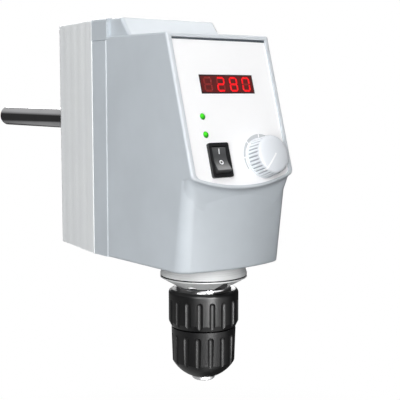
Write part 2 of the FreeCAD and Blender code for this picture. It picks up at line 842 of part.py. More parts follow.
def rear_cover():
    """Tapered rear shell with broad, very shallow flutes on both sides."""
    body = new_body("rear_cover")
    rear_half = S.cover_rear_width / 2
    plan = outline(new_sketch(body, "XY_Plane", S.housing_bottom), [
        (-half_width, cover_seam), (half_width, cover_seam), (rear_half, rear_face), (-rear_half, rear_face)])
    extrude("Pad", body, plan, S.full_height)
    soften("Fillet", body, S.rear_round,
           lambda edge: along(edge, Vector(0, 0, 1)) and near(edge.BoundBox.YMin, rear_face))
    soften("Fillet", body, S.edge_round,
           lambda edge: near(edge.BoundBox.ZMin, case_top) and edge.BoundBox.YMax > cover_seam.value + 1)
    soften("Chamfer", body, S.seam_edge,
           lambda edge: along(edge, Vector(0, 0, 1)) and near(edge.BoundBox.YMax, cover_seam))
    flutes = new_sketch(body, "XY_Plane", S.housing_bottom)
    step = S.flute_width + S.flute_land
    for side in (-1, 1):
        for index in range(int(S.cover_flutes.value)):
            start = cover_seam + S.flute_start + step * index
            middle = start + S.flute_width / 2
            stop = start + S.flute_width
            outline(flutes, [
                ((side_x(start) + S.flute_depth) * side, start),
                Via((side_x(middle) - S.flute_depth) * side, middle),
                ((side_x(stop) + S.flute_depth) * side, stop)])
    extrude("Pocket", body, flutes, S.full_height, reverse=True)
    inside = rear_face - S.shell_wall
    mouth = half_width - S.shell_wall
    back = side_x(inside) - S.shell_wall
    ahead = cover_seam - S.cavity_lap
    hollow = outline(new_sketch(body, "XY_Plane", floor_top), [
        (-mouth, ahead), (mouth, ahead), (mouth, cover_seam), (back, inside), (-back, inside),
        (-mouth, cover_seam)])
    extrude("Pocket", body, hollow, S.full_height - S.shell_wall * 2, reverse=True)
    bosses = new_sketch(body, "XZ_Plane", -inside)
    heads = new_sketch(body, "XZ_Plane", -rear_face)
    holes = new_sketch(body, "XZ_Plane", -rear_face)
    for side in (-1, 1):
        for height in case_screw_heights:
            circle(bosses, case_screw_across * side, height, S.boss_radius)
            circle(heads, case_screw_across * side, height, S.screw_head_radius + S.head_play)
            circle(holes, case_screw_across * side, height, S.screw_radius + S.screw_play)
    circle(holes, 0, rod_z, S.rod_root_radius + S.rod_hole_play)
    width = S.inlet_body_width / 2 + S.inlet_play
    height = S.inlet_body_height / 2 + S.inlet_play
    rectangle(holes, -width, width, inlet_z - height, inlet_z + height)
    extrude("Pad", body, bosses, S.boss_length)
    extrude("Pocket", body, heads, S.screw_head_thick, reverse=True)
    extrude("Pocket", body, holes, S.shell_wall + S.boss_length, reverse=True)
    return body


def hexagon(sketch, radius):
    """A hexagon with two of its corners on the sketch's vertical axis."""
    half = radius / 2
    side = radius * math.cos(math.radians(30))
    return outline(sketch, [(side, -half), (side, half), (0, radius), (-side, half), (-side, -half),
                            (0, -radius)])


def screw(label, radius, length, head_radius, head_thick, socket, socket_depth):
    """A socket screw that stands on its tip, with the underside of its head at height zero."""
    body = turned(label, [(0, -length), (radius, -length), (radius, 0), (head_radius, 0),
                          (head_radius, head_thick), (0, head_thick)], node=False)
    extrude("Pocket", body, hexagon(new_sketch(body, "XY_Plane", head_thick), socket), socket_depth)
    return body


def case_screws():
    seat = rear_face - S.screw_head_thick
    blank = screw("case_screw", S.screw_radius, seat - web_front, S.screw_head_radius, S.screw_head_thick,
                  S.screw_socket, S.screw_socket_depth)
    group("case_screws", blank, [facing_rear(case_screw_across * side, seat, height)
                                 for side in (-1, 1) for height in case_screw_heights])


def frame_screws():
    length = S.frame_web + S.web_setback + S.frame_screw_grip
    blank = screw("frame_screw", S.screw_radius, length, S.screw_head_radius, S.screw_head_thick,
                  S.screw_socket, S.screw_socket_depth)
    group("frame_screws", blank, [facing_rear(frame_screw_across * side, web_rear, height)
                                  for side in (-1, 1) for height in frame_screw_heights])


# Control panel, each piece drawn flat and then laid on the slope

def control_panel():
    """White face plate with its openings for display, lamps, switch and control."""
    body = new_body("control_panel")
    extrude("Pad", body, panel_outline(body, None, ZERO), S.panel_thick)
    across = S.display_width / 2 + S.panel_play
    up = S.display_height / 2 + S.panel_play
    seat = rectangle(new_sketch(body, "XY_Plane", S.panel_thick), -across, across, -S.display_drop - up,
                     up - S.display_drop)
    extrude("Pocket", body, seat, S.window_thick)
    holes = new_sketch(body, "XY_Plane", S.panel_thick)
    across = S.display_width / 2 - S.module_margin
    up = S.display_height / 2 - S.module_margin
    rectangle(holes, -across, across, -S.display_drop - up, up - S.display_drop)
    for index in range(2):
        circle(holes, -led_across, -S.led_drop - S.led_spacing * index, S.led_radius + S.led_play)
    circle(holes, knob_across, -S.control_drop, S.bushing_radius)
    across = S.switch_width / 2 - S.switch_wall + S.panel_play
    up = S.switch_height / 2 - S.switch_wall + S.panel_play
    rectangle(holes, -switch_across - across, across - switch_across, -S.control_drop - up,
              up - S.control_drop)
    extrude("Pocket", body, holes, S.panel_thick)
    body.Placement = on_panel(0, 0, -panel_back)
    return body


def panel_block(label, width, height, thick, across, drop, lift):
    """A plain block on the slope, placed by the middle of its rear face."""
    body = new_body(label)
    plan = rectangle(new_sketch(body, "XY_Plane"), -width / 2, width / 2, -height / 2, height / 2)
    extrude("Pad", body, plan, thick)
    body.Placement = on_panel(across, drop, lift)
    return body


def display_window():
    return panel_block("display_window", S.display_width, S.display_height, S.window_thick, 0, S.display_drop,
                       -S.rim_height - S.window_thick)


def display_module():
    margin = S.module_margin * 2 + S.panel_play * 2
    depth = panel_back + S.board_setback - S.rim_height - S.window_thick
    return panel_block("display_module", S.display_width - margin, S.display_height - margin, depth, 0,
                       S.display_drop, -panel_back - S.board_setback)


def indicator_leds():
    """Two lamps that stand on the board and look out through the panel."""
    flange = S.led_radius + S.led_flange
    top = S.board_setback + S.panel_thick + S.led_rise
    blank = turned("indicator_led", [
        (0, 0), (S.led_radius, 0), (S.led_radius, S.board_setback - S.led_flange_thick),
        (flange, S.board_setback - S.led_flange_thick), (flange, S.board_setback),
        (S.led_radius, S.board_setback), (S.led_radius, top - S.led_rise * 2),
        Via(S.led_radius * 0.83, top - S.led_rise * 0.7), (S.led_radius * 0.4, top), (0, top)], node=False)
    group("indicator_leds", blank, [
        on_panel(-led_across, S.led_drop + S.led_spacing * index, -panel_back - S.board_setback)
        for index in range(2)])


def switch_body():
    """Bezel and body of the mains switch, with a well for the rocker and blind holes for its pin."""
    body = new_body("switch_body")
    across = S.switch_width / 2
    up = S.switch_height / 2
    extrude("Pad", body, rectangle(new_sketch(body, "XY_Plane"), -across, across, -up, up), S.bezel_thick)
    soften("Fillet", body, S.part_round, lambda edge: along(edge, Vector(0, 0, 1)))
    across = across - S.switch_wall
    up = up - S.switch_wall
    extrude("Pad", body, rectangle(new_sketch(body, "XY_Plane"), -across, across, -up, up), S.switch_depth,
            reverse=True)
    across = S.switch_width / 2 - S.switch_frame
    up = S.switch_height / 2 - S.switch_frame
    well = rectangle(new_sketch(body, "XY_Plane", S.bezel_thick), -across, across, -up, up)
    extrude("Pocket", body, well, S.bezel_thick + S.rocker_well)
    pin = circle(new_sketch(body, "YZ_Plane"), 0, -S.rocker_pivot_depth, S.rocker_pin_radius)
    extrude("Pocket", body, pin, pin_span, symmetric=True)
    body.Placement = on_panel(-switch_across, S.control_drop, -S.rim_height)
    return body


def at_rocker():
    return on_panel(-switch_across, S.control_drop, -S.rim_height - S.rocker_pivot_depth)


def switch_rocker():
    """Rocker with a dished top; its ends are arcs about the pin, so that it clears the well as it tips."""
    body = new_body("switch_rocker")
    reach = S.switch_height / 2 - S.switch_frame - S.rocker_play
    rise = S.rocker_crest + S.rocker_pivot_depth
    crest = math.sqrt(reach.value ** 2 - rise.value ** 2)
    crest = Dim(crest, f"sqrt({reach.formula} * {reach.formula} - {rise.formula} * {rise.formula})")
    foot = reach * 0.6
    side = outline(new_sketch(body, "YZ_Plane"), [
        (crest, rise), Via(0, rise - S.rocker_dish), (-crest, rise),
        Via(reach * -0.97, reach * 0.2431), (-reach, 0), (-foot, -S.rocker_sole), (foot, -S.rocker_sole),
        (reach, 0), Via(reach * 0.97, reach * 0.2431)])
    width = S.switch_width - S.switch_frame * 2 - S.rocker_play * 2
    extrude("Pad", body, side, width, symmetric=True)
    hole = circle(new_sketch(body, "YZ_Plane"), 0, 0, S.rocker_pin_radius + S.pin_play)
    extrude("Pocket", body, hole, width, symmetric=True)
    tip = Placement(Vector(0, 0, 0), Rotation(Vector(1, 0, 0), -S.rocker_tilt.value))
    body.Placement = at_rocker().multiply(tip)
    return body


def rocker_pin():
    body = new_body("rocker_pin")
    section = circle(new_sketch(body, "YZ_Plane"), 0, 0, S.rocker_pin_radius)
    extrude("Pad", body, section, pin_span, symmetric=True)
    body.Placement = at_rocker()
    return body


def at_knob(lift, spin=0.0):
    return on_panel(knob_across, S.control_drop, lift, spin)


def potentiometer_body():
    """Round control behind the panel with a threaded bush through it."""
    top = S.panel_thick + S.bushing_rise
    bore = S.pot_shaft_radius + S.pot_shaft_play
    root = -S.pot_shaft_root - S.pot_shaft_play * 2
    body = turned("potentiometer_body", [
        (0, -S.pot_depth), (S.pot_radius, -S.pot_depth), (S.pot_radius, 0), (S.bushing_radius, 0),
        (S.bushing_radius, top), (bore, top), (bore, root), (0, root)])
    body.Placement = at_knob(-panel_back)
    return body


def potentiometer_nut():
    body = new_body("potentiometer_nut")
    plan = hexagon(new_sketch(body, "XY_Plane"), S.pot_nut_radius)
    extrude("Pad", body, plan, S.pot_nut_thick)
    extrude("Pocket", body, circle(new_sketch(body, "XY_Plane"), 0, 0, S.bushing_radius), S.pot_nut_thick,
            reverse=True)
    body.Placement = at_knob(-S.rim_height)
    return body


def potentiometer_shaft():
    body = new_body("potentiometer_shaft")
    sketch = circle(new_sketch(body, "XY_Plane", -S.pot_shaft_root), 0, 0, S.pot_shaft_radius)
    extrude("Pad", body, sketch, S.pot_shaft_root + S.panel_thick + S.pot_shaft_reach)
    body.Placement = at_knob(-panel_back)
    return body


def speed_knob():
    """Hollow ribbed knob pressed on the shaft, with a skirt and a recess for its cap."""
    top = S.knob_height
    seat = top - S.cap_thick
    hub = S.bushing_rise + S.knob_lift
    well = S.knob_well_radius
    edge = S.knob_face_radius - S.knob_round
    bend = S.knob_round * math.sqrt(0.5)
    body = turned("speed_knob", [
        (well, S.knob_lift), (S.knob_base_radius, S.knob_lift), (S.knob_base_radius, S.knob_skirt),
        (S.knob_side_radius, S.knob_skirt + S.knob_lift), (S.knob_face_radius, top - S.knob_round),
        Via(edge + bend, top - S.knob_round + bend), (edge, top), (S.cap_radius, top), (S.cap_radius, seat),
        (0, seat), (0, S.pot_shaft_reach), (S.pot_shaft_radius, S.pot_shaft_reach),
        (S.pot_shaft_radius, hub), (well, hub)])
    floor = S.knob_side_radius - S.knob_groove_depth
    groove = rectangle(new_sketch(body, "XY_Plane", S.knob_skirt + S.knob_lift), floor,
                       S.knob_side_radius + S.knob_groove_depth, -S.knob_groove_width / 2,
                       S.knob_groove_width / 2)
    polar(body, extrude("Pocket", body, groove, top, reverse=True), S.knob_ribs)
    body.Placement = at_knob(-S.rim_height, -S.pointer_angle.value)
    return body


def knob_cap():
    """Disc that closes the knob's face, with a slot for the pointer."""
    body = new_body("knob_cap")
    extrude("Pad", body, circle(new_sketch(body, "XY_Plane"), 0, 0, S.cap_radius), S.cap_thick)
    slot = rectangle(new_sketch(body, "XY_Plane", S.cap_thick), -S.pointer_width / 2, S.pointer_width / 2,
                     -S.pointer_tail, S.pointer_reach)
    extrude("Pocket", body, slot, S.pointer_thick)
    body.Placement = at_knob(S.knob_height - S.rim_height - S.cap_thick, -S.pointer_angle.value)
    return body


def knob_pointer():
    body = new_body("knob_pointer")
    bar = rectangle(new_sketch(body, "XY_Plane"), -S.pointer_width / 2, S.pointer_width / 2, -S.pointer_tail,
                    S.pointer_reach)
    extrude("Pad", body, bar, S.pointer_thick)
    body.Placement = at_knob(S.knob_height - S.rim_height - S.pointer_thick, -S.pointer_angle.value)
    return body


def control_board():
    return panel_block("control_board", board_width, S.board_height, S.board_thick, 0,
                       S.board_top_drop + S.board_height / 2, -panel_back - S.board_setback - S.board_thick)


def pillar(label, radius, length):
    body = new_body(label, node=False)
    extrude("Pad", body, circle(new_sketch(body, "XY_Plane"), 0, 0, radius), length)
    return body


def board_pillars():
    across = board_width / 2 - S.pillar_inset
    high = S.board_top_drop + S.pillar_inset
    low = S.board_top_drop + S.board_height - S.pillar_inset
    group("board_pillars", pillar("board_pillar", S.pillar_radius, S.board_setback), [
        on_panel(across * side, drop, -panel_back - S.board_setback)
        for side in (-1, 1) for drop in (high, low)])


# Power supply, inlet and support rod at the rear

power_low = S.housing_bottom + S.power_board_rise
power_mid = power_low + S.power_board_height / 2
power_face = web_rear + S.power_board_gap + S.board_thick


def rear_block(label, width, height, depth, x, y, z):
    """A block that stands to the rear from the middle of its front face."""
    body = new_body(label)
    plan = rectangle(new_sketch(body, "XY_Plane"), -width / 2, width / 2, -height / 2, height / 2)
    extrude("Pad", body, plan, depth)
    body.Placement = facing_rear(x, y, z)
    return body


def power_board():
    return rear_block("power_board", S.power_board_width, S.power_board_height, S.board_thick, 0,
                      power_face - S.board_thick, power_mid)


def power_pillars():
    across = S.power_board_width / 2 - S.pillar_inset
    up = S.power_board_height / 2 - S.pillar_inset
    group("power_pillars", pillar("power_pillar", S.pillar_radius, S.power_board_gap), [
        facing_rear(across * side, web_rear, power_mid + up * level)
        for side in (-1, 1) for level in (-1, 1)])


def power_transformer():
    left = (S.transformer_width - S.power_board_width) / 2 + S.part_round
    body = rear_block("power_transformer", S.transformer_width, S.transformer_height, S.transformer_depth,
                      left, power_face, power_mid)
    soften("Fillet", body, S.part_round, lambda edge: along(edge, Vector(0, 1, 0)))
    return body


def power_capacitors():
    blank = pillar("power_capacitor", S.capacitor_radius, S.capacitor_length)
    soften("Fillet", blank, S.part_round, lambda edge: near(edge.BoundBox.ZMin, S.capacitor_length))
    right = S.power_board_width / 2 - S.capacitor_radius - S.pillar_inset
    group("power_capacitors", blank, [
        facing_rear(right, power_face, power_mid + S.capacitor_spacing / 2 * level) for level in (-1, 1)])


def mains_inlet():
    """Rear socket: flange outside the cover, body inside it and a deep mouth with two bevelled corners."""
    body = new_body("mains_inlet")
    for width, height, depth, reverse in (
            (S.inlet_flange_width, S.inlet_flange_height, S.inlet_flange_thick, False),
            (S.inlet_body_width, S.inlet_body_height, S.inlet_body_depth, True)):
        plan = rectangle(new_sketch(body, "XY_Plane"), -width / 2, width / 2, -height / 2, height / 2)
        extrude("Pad", body, plan, depth, reverse=reverse)
    soften("Fillet", body, S.part_round, lambda edge: near(edge.BoundBox.ZMax, S.inlet_flange_thick)
           and edge.BoundBox.ZLength > 1)
    across = S.inlet_mouth_width / 2
    up = S.inlet_mouth_height / 2
    mouth = outline(new_sketch(body, "XY_Plane", S.inlet_flange_thick), [
        (-across, -up), (across, -up), (across, up - S.inlet_mouth_bevel), (across - S.inlet_mouth_bevel, up),
        (S.inlet_mouth_bevel - across, up), (-across, up - S.inlet_mouth_bevel)])
    extrude("Pocket", body, mouth, S.inlet_mouth_depth)
    body.Placement = facing_rear(0, rear_face, inlet_z)
    return body


def inlet_pins():
    blank = new_body("inlet_pin", node=False)
    plan = rectangle(new_sketch(blank, "XY_Plane"), -S.inlet_pin_width / 2, S.inlet_pin_width / 2,
                     -S.inlet_pin_height / 2, S.inlet_pin_height / 2)
    extrude("Pad", blank, plan, S.inlet_pin_length)
    floor = rear_face + S.inlet_flange_thick - S.inlet_mouth_depth
    group("inlet_pins", blank, [
        facing_rear(S.inlet_pin_spacing * column, floor, inlet_z + S.inlet_pin_offset * level)
        for column, level in ((-1, -1), (0, 1), (1, -1))])


def support_rod():
    """Polished rod that a stand clamp takes hold of; its thinner root goes through collar and cover."""
    start = web_rear + S.rod_boss_length - S.rod_socket
    shoulder = rear_face + S.collar_length - start
    length = rear_face + S.rod_reach - start
    body = turned("support_rod", [
        (0, 0), (S.rod_root_radius, 0), (S.rod_root_radius, shoulder), (S.rod_radius, shoulder),
        (S.rod_radius, length - S.rod_chamfer), (S.rod_radius - S.rod_chamfer, length), (0, length)])
    body.Placement = facing_rear(0, start, rod_z)
    return body


def rod_collar():
    body = turned("rod_collar", [
        (S.rod_root_radius, 0), (S.collar_radius, 0), (S.collar_radius, S.collar_length - S.rod_chamfer),
        (S.collar_radius - S.rod_chamfer, S.collar_length), (S.rod_root_radius, S.collar_length)])
    body.Placement = facing_rear(0, rear_face, rod_z)
    return body


# Motor, spindle and bearings

def spindle_carrier():
    """Bracket on the frame's web: a shelf under the motor, an upright plate and two ribs."""
    body = new_body("spindle_carrier")
    half = S.carrier_width / 2
    face = web_front - S.carrier_thick
    shelf = circle(new_sketch(body, "XY_Plane", floor_top), 0, 0, S.carrier_radius)
    extrude("Pad", body, shelf, S.carrier_thick)
    tongue = rectangle(new_sketch(body, "XY_Plane", floor_top), -half, half, 0, web_front)
    extrude("Pad", body, tongue, S.carrier_thick)
    plate = rectangle(new_sketch(body, "XY_Plane", floor_top), -half, half, face, web_front)
    extrude("Pad", body, plate, S.carrier_height)
    inner = half - S.carrier_rib
    ribs = new_sketch(body, "XY_Plane", shelf_top)
    for side in (-1, 1):
        outline(ribs, [(half * side, face - S.carrier_rib_run), (half * side, face), (inner * side, face),
                       (inner * side, face - S.carrier_rib_run)])
    extrude("Pad", body, ribs, S.carrier_rib * 2)
    extrude("Pocket", body, circle(new_sketch(body, "XY_Plane", floor_top), 0, 0, S.carrier_bore),
            S.carrier_thick, reverse=True)
    screws = new_sketch(body, "XY_Plane", floor_top)
    for place in nose_screw_places:
        circle(screws, *place, S.nose_screw_radius)
    extrude("Pocket", body, screws, S.nose_screw_grip, reverse=True)
    return body


def motor_can():
    return tube("motor_can", S.motor_radius - S.can_wall, S.motor_radius, shelf_top, can_top)


def motor_end_cap():
    """End plate of the motor with the hub that holds the upper bearing."""
    roof = high_bearing + S.bearing_width
    return turned("motor_end_cap", [
        (S.bearing_radius, can_top), (S.motor_radius, can_top), (S.motor_radius, can_top + S.end_cap_thick),
        (S.hub_radius, can_top + S.end_cap_thick), (S.hub_radius, roof + S.hub_roof),
        (S.roof_bore, roof + S.hub_roof), (S.roof_bore, roof), (S.bearing_radius, roof)])


def stator_core():
    """Laminated ring with inward teeth."""
    outer = S.motor_radius - S.can_wall
    body = tube("stator_core", outer - S.yoke_thick, outer, rotor_low, rotor_low + S.stator_length)
    tooth = rectangle(new_sketch(body, "XY_Plane", rotor_low), S.stator_bore, outer - S.yoke_thick / 2,
                      -S.tooth_width / 2, S.tooth_width / 2)
    polar(body, extrude("Pad", body, tooth, S.stator_length), S.teeth)
    return body


def stator_windings():
    """Copper ring between the teeth, with a window for each of them."""
    outer = S.motor_radius - S.can_wall - S.yoke_thick - S.winding_play
    inner = S.stator_bore + S.winding_inset
    low = rotor_low - S.winding_overhang
    high = rotor_low + S.stator_length + S.winding_overhang
    body = tube("stator_windings", inner, outer, low, high)
    window = rectangle(new_sketch(body, "YZ_Plane", S.stator_bore), -S.tooth_width / 2 - S.winding_play,
                       S.tooth_width / 2 + S.winding_play, rotor_low - S.winding_play,
                       rotor_low + S.stator_length + S.winding_play)
    polar(body, extrude("Pocket", body, window, S.yoke_thick * 3, reverse=True), S.teeth)
    return body


def rotor_core():
    """Rotor iron with a hub that spaces it between the spindle's shoulder and the upper bearing."""
    low = shelf_top + S.rotor_seat
    core = rotor_radius - S.magnet_thick
    high = rotor_low + S.stator_length
    return turned("rotor_core", [
        (S.spindle_radius, low), (S.shoulder_radius, low), (S.shoulder_radius, rotor_low), (core, rotor_low),
        (core, high), (S.shoulder_radius, high), (S.shoulder_radius, high_bearing),
        (S.spindle_radius, high_bearing)])


def rotor_magnets():
    """Arc magnets round the rotor iron."""
    inner = rotor_radius - S.magnet_thick
    angle = Dim(180.0, "180") / S.magnets - S.magnet_gap / rotor_radius * 28.65
    blank = new_body("rotor_magnet", node=False)
    near_x, near_y = inner * cosine(angle), inner * sine(angle)
    far_x, far_y = rotor_radius * cosine(angle), rotor_radius * sine(angle)
    arc = outline(new_sketch(blank, "XY_Plane", rotor_low), [
        (near_x, -near_y), (far_x, -far_y), Via(rotor_radius, 0), (far_x, far_y), (near_x, near_y),
        Via(inner, 0)])
    extrude("Pad", blank, arc, S.stator_length)
    count = int(S.magnets.value)
    group("rotor_magnets", blank, [
        Placement(Vector(0, 0, 0), Rotation(Vector(0, 0, 1), 360 / count * index)) for index in range(count)])


def spindle():
    """Spindle with a tapered foot for the chuck and a shoulder above the lower bearing."""
    shoulder = low_bearing + S.bearing_width
    seat = shelf_top + S.rotor_seat
    top = high_bearing + S.bearing_width + S.spindle_crown
    return turned("spindle", [
        (0, S.spindle_foot), (S.spindle_foot_radius, S.spindle_foot), (S.spindle_taper_radius, chuck_top),
        (S.spindle_radius, chuck_top + S.chuck_gap), (S.spindle_radius, shoulder),
        (S.shoulder_radius, shoulder), (S.shoulder_radius, seat), (S.spindle_radius, seat),
        (S.spindle_radius, top), (0, top)])


ball_circle = (S.bearing_radius + S.spindle_radius) / 2
race_mid = S.bearing_width / 2
race_radius = S.ball_radius + S.ball_play


def race(label, wall, face, deep):
    """One bearing ring, with its raceway cut as an arc round the balls."""
    offset = abs(face.value - ball_circle.value)
    chord = Dim(math.sqrt(race_radius.value ** 2 - offset ** 2),
                f"sqrt({race_radius.formula} ^ 2 - ({face.formula} - {ball_circle.formula}) ^ 2)")
    return turned(label, [
        (wall, ZERO), (face, ZERO), (face, race_mid - chord), Via(deep, race_mid), (face, race_mid + chord),
        (face, S.bearing_width), (wall, S.bearing_width)], node=False)


def bearing_places():
    return [Placement(Vector(0, 0, height.value), Rotation()) for height in (low_bearing, high_bearing)]


def bearing_outer_rings():
    blank = race("bearing_outer_ring", S.bearing_radius, S.bearing_radius - S.ring_thick,
                 ball_circle + race_radius)
    group("bearing_outer_rings", blank, bearing_places())


def bearing_inner_rings():
    blank = race("bearing_inner_ring", S.spindle_radius, S.spindle_radius + S.ring_thick,
                 ball_circle - race_radius)
    group("bearing_inner_rings", blank, bearing_places())


def bearing_balls():
    ball = doc.addObject("Part::Sphere", "bearing_ball")
    bind(ball, "Radius", S.ball_radius)
    doc.recompute()
    count = int(S.balls.value)
    places = []
    for height in (low_bearing, high_bearing):
        for index in range(count):
            turn = Rotation(Vector(0, 0, 1), 360 / count * index)
            spot = turn.multVec(Vector(ball_circle.value, 0, 0))
            places.append(Placement(spot + Vector(0, 0, height.value + race_mid.value), turn))
    group("bearing_balls", ball, places)


# Nose under the housing

nose_screw_places = [(0, S.nose_screw_circle)]
for turn in (210, 330):
    nose_screw_places.append((S.nose_screw_circle * math.cos(math.radians(turn)),
                              S.nose_screw_circle * math.sin(math.radians(turn))))


def nose_ring():
    """Turned ring under the housing that holds the lower bearing."""
    roof = floor_top - S.bearing_roof
    socket = S.cone_spigot_radius + S.cone_spigot_play
    body = turned("nose_ring", [
        (S.roof_bore, roof), (S.bearing_radius, roof), (S.bearing_radius, low_bearing),
        (socket, low_bearing), (socket, nose_low),
        (S.nose_rim_radius, nose_low), (S.nose_rim_radius, nose_low + S.nose_edge),
        (S.nose_top_radius, S.housing_bottom), (S.spigot_radius, S.housing_bottom),
        (S.spigot_radius, floor_top), (S.roof_bore, floor_top)])
    holes = new_sketch(body, "XY_Plane", nose_low)
    for place in nose_screw_places:
        circle(holes, *place, S.nose_screw_radius + S.screw_play)
    extrude("Pocket", body, holes, floor_top - nose_low, reverse=True)
    return body


def nose_gasket():
    return tube("nose_gasket", S.cone_spigot_radius + S.cone_spigot_play, S.nose_rim_radius - S.gasket_inset,
                cone_high, nose_low)


def nose_cone():
    """Turned cone with a spanner slot at the front; its spigot carries the lower bearing."""
    body = turned("nose_cone", [
        (S.seal_radius, S.cone_foot), (S.cone_foot_radius, S.cone_foot),
        (S.nose_rim_radius, cone_high - S.cone_edge), (S.nose_rim_radius, cone_high),
        (S.cone_spigot_radius, cone_high), (S.cone_spigot_radius, low_bearing), (S.seal_radius, low_bearing)])
    slot = rectangle(new_sketch(body, "XY_Plane", S.slot_top), -S.slot_width / 2, S.slot_width / 2,
                     -S.nose_rim_radius - S.slot_width, S.slot_depth - S.nose_rim_radius)
    extrude("Pocket", body, slot, S.slot_depth)
    heads = new_sketch(body, "XY_Plane", S.cone_foot)
    holes = new_sketch(body, "XY_Plane", S.cone_foot)
    for place in nose_screw_places:
        circle(heads, *place, S.nose_screw_head + S.head_play)
        circle(holes, *place, S.nose_screw_radius + S.screw_play)
    extrude("Pocket", body, heads, S.nose_screw_seat, reverse=True)
    extrude("Pocket", body, holes, low_bearing - S.cone_foot, reverse=True)
    return body


def nose_seal():
    return tube("nose_seal", S.spindle_radius + S.seal_play, S.seal_radius, S.cone_foot,
                S.cone_foot + S.seal_thick)


def nose_screws():
    seat = S.cone_foot + S.nose_screw_seat
    blank = screw("nose_screw", S.nose_screw_radius, floor_top + S.nose_screw_grip - seat, S.nose_screw_head,
                  S.nose_screw_head_thick, S.nose_screw_radius, S.nose_screw_head_thick / 2)
    group("nose_screws", blank, [
        Placement(Vector(number(x), number(y), seat.value), Rotation(Vector(1, 0, 0), 180))
        for x, y in nose_screw_places])


# Keyless chuck

def jaw_axis(start):
    """Placement of a sketch across the first jaw's sloping axis, at a distance from the axis' apex."""
    lean = Rotation(Vector(0, 1, 0), S.jaw_angle.value)
    return Placement(Vector(0, 0, -S.jaw_apex.value) + lean.multVec(Vector(0, 0, number(start))), lean)


def chuck_body():
    """Chuck core: bore from below, taper socket from above and three sloping holes for the jaws."""
    groove_low = S.nut_bottom - S.nut_play
    groove_high = S.nut_bottom + S.nut_height + S.nut_play
    body = turned("chuck_body", [
        (S.bore_radius, 0), (S.tip_radius - S.tip_chamfer, 0), (S.tip_radius, S.tip_chamfer),
        (S.tip_radius, S.tip_height), (S.core_radius, S.core_start), (S.core_radius, groove_low),
        (S.nut_groove_radius, groove_low), (S.nut_groove_radius, groove_high), (S.waist_radius, groove_high),
        (S.waist_radius, S.head_start), (S.head_radius, S.head_start), (S.head_radius, chuck_top),
        (S.spindle_taper_radius, chuck_top), (S.spindle_foot_radius, S.spindle_foot), (0, S.spindle_foot),
        (0, S.bore_depth), (S.bore_radius, S.bore_depth)])
    hole = circle(new_sketch(body, "XY_Plane", jaw_axis(0)), 0, 0, S.jaw_radius + S.jaw_play)
    reach = (S.jaw_hole_top + S.jaw_apex) / jaw_cos
    polar(body, extrude("Pocket", body, hole, reach, reverse=True), S.jaws)
    return body


def grooves(body, radius, low, high, turn, count):
    """Round-floored grooves all round a sleeve, each with a ball end at the top."""
    axis = radius - S.groove_depth + S.groove_radius
    bend = S.groove_radius * math.sqrt(0.5)
    shoulder = high - S.groove_radius
    place = Placement(Vector(), Rotation(Vector(0, 1, 0), turn.value))
    shape = outline(new_sketch(body, "XZ_Plane", place), [
        (axis, low), (axis + S.groove_radius, low), (axis + S.groove_radius, shoulder),
        Via(axis + bend, shoulder + bend), (axis, high)])
    line = Part.LineSegment(Vector(axis.value, low.value, 0), Vector(axis.value, high.value, 0))
    middle = shape.addGeometry(line, True)
    fix_point(shape, middle, 1, axis, low)
    fix_point(shape, middle, 2, axis, high)
    cut = body.newObject("PartDesign::Groove", f"{body.Name}_groove")
    cut.Profile = shape
    cut.ReferenceAxis = (shape, ["Axis0"])
    cut.Angle = 360
    doc.recompute()
    polar(body, cut, count)


def chuck_upper_sleeve():
    """Fluted sleeve pressed on the chuck's head."""
    foot = S.lower_top + S.sleeve_gap
    edge = S.upper_top - S.upper_round
    bend = S.upper_round * (1 - math.sqrt(0.5))
    body = turned("chuck_upper_sleeve", [
        (S.head_radius, foot), (S.upper_foot_radius, foot), (S.upper_radius, foot + S.upper_bevel),
        (S.upper_radius, edge), Via(S.upper_radius - bend, S.upper_top - bend),
        (S.upper_radius - S.upper_round, S.upper_top), (S.head_radius, S.upper_top)])
    grooves(body, S.upper_radius, S.upper_groove_bottom, S.upper_groove_top, S.upper_flute_turn,
            S.upper_flutes)
    return body


def chuck_lower_sleeve():
    """Fluted sleeve that turns to open and close the jaws; it carries the nut on an inner ledge."""
    body = turned("chuck_lower_sleeve", [
        (S.tip_radius + S.lower_play, S.lower_mouth_height), (S.lower_mouth_radius, S.lower_mouth_height),
        Via((S.lower_mouth_radius + S.lower_cone_radius) / 2 + S.lower_cone_swell * math.sqrt(0.5),
            (S.lower_mouth_height + S.lower_cone_top) / 2 - S.lower_cone_swell * math.sqrt(0.5)),
        (S.lower_cone_radius, S.lower_cone_top), (S.lower_top_radius, S.lower_top),
        (S.nut_radius, S.lower_top), (S.nut_radius, S.nut_bottom),
        (S.core_radius + S.lower_play, S.nut_bottom),
        (S.core_radius + S.lower_play, S.core_start), (S.tip_radius + S.lower_play, S.tip_height)])
    grooves(body, (S.lower_cone_radius + S.lower_top_radius) / 2, S.lower_groove_bottom, S.lower_groove_top,
            S.lower_flute_turn, S.lower_flutes)
    return body


def chuck_nut():
    """Split nut in the chuck's groove, with a coned bore that clears the backs of the jaws."""
    top = S.nut_bottom + S.nut_height
    reach = S.jaw_radius / jaw_cos + S.nut_play
    low_bore = (S.nut_bottom + S.jaw_apex) * jaw_tan + reach
    high_bore = (top + S.jaw_apex) * jaw_tan + reach
    body = turned("chuck_nut", [(low_bore, S.nut_bottom), (S.nut_radius, S.nut_bottom), (S.nut_radius, top),
                                (high_bore, top)])
    split = rectangle(new_sketch(body, "XY_Plane", S.nut_bottom), S.nut_groove_radius - S.nut_split,
                      S.nut_radius + S.nut_split, -S.nut_split / 2, S.nut_split / 2)
    extrude("Pocket", body, split, S.nut_height, reverse=True)
    return body


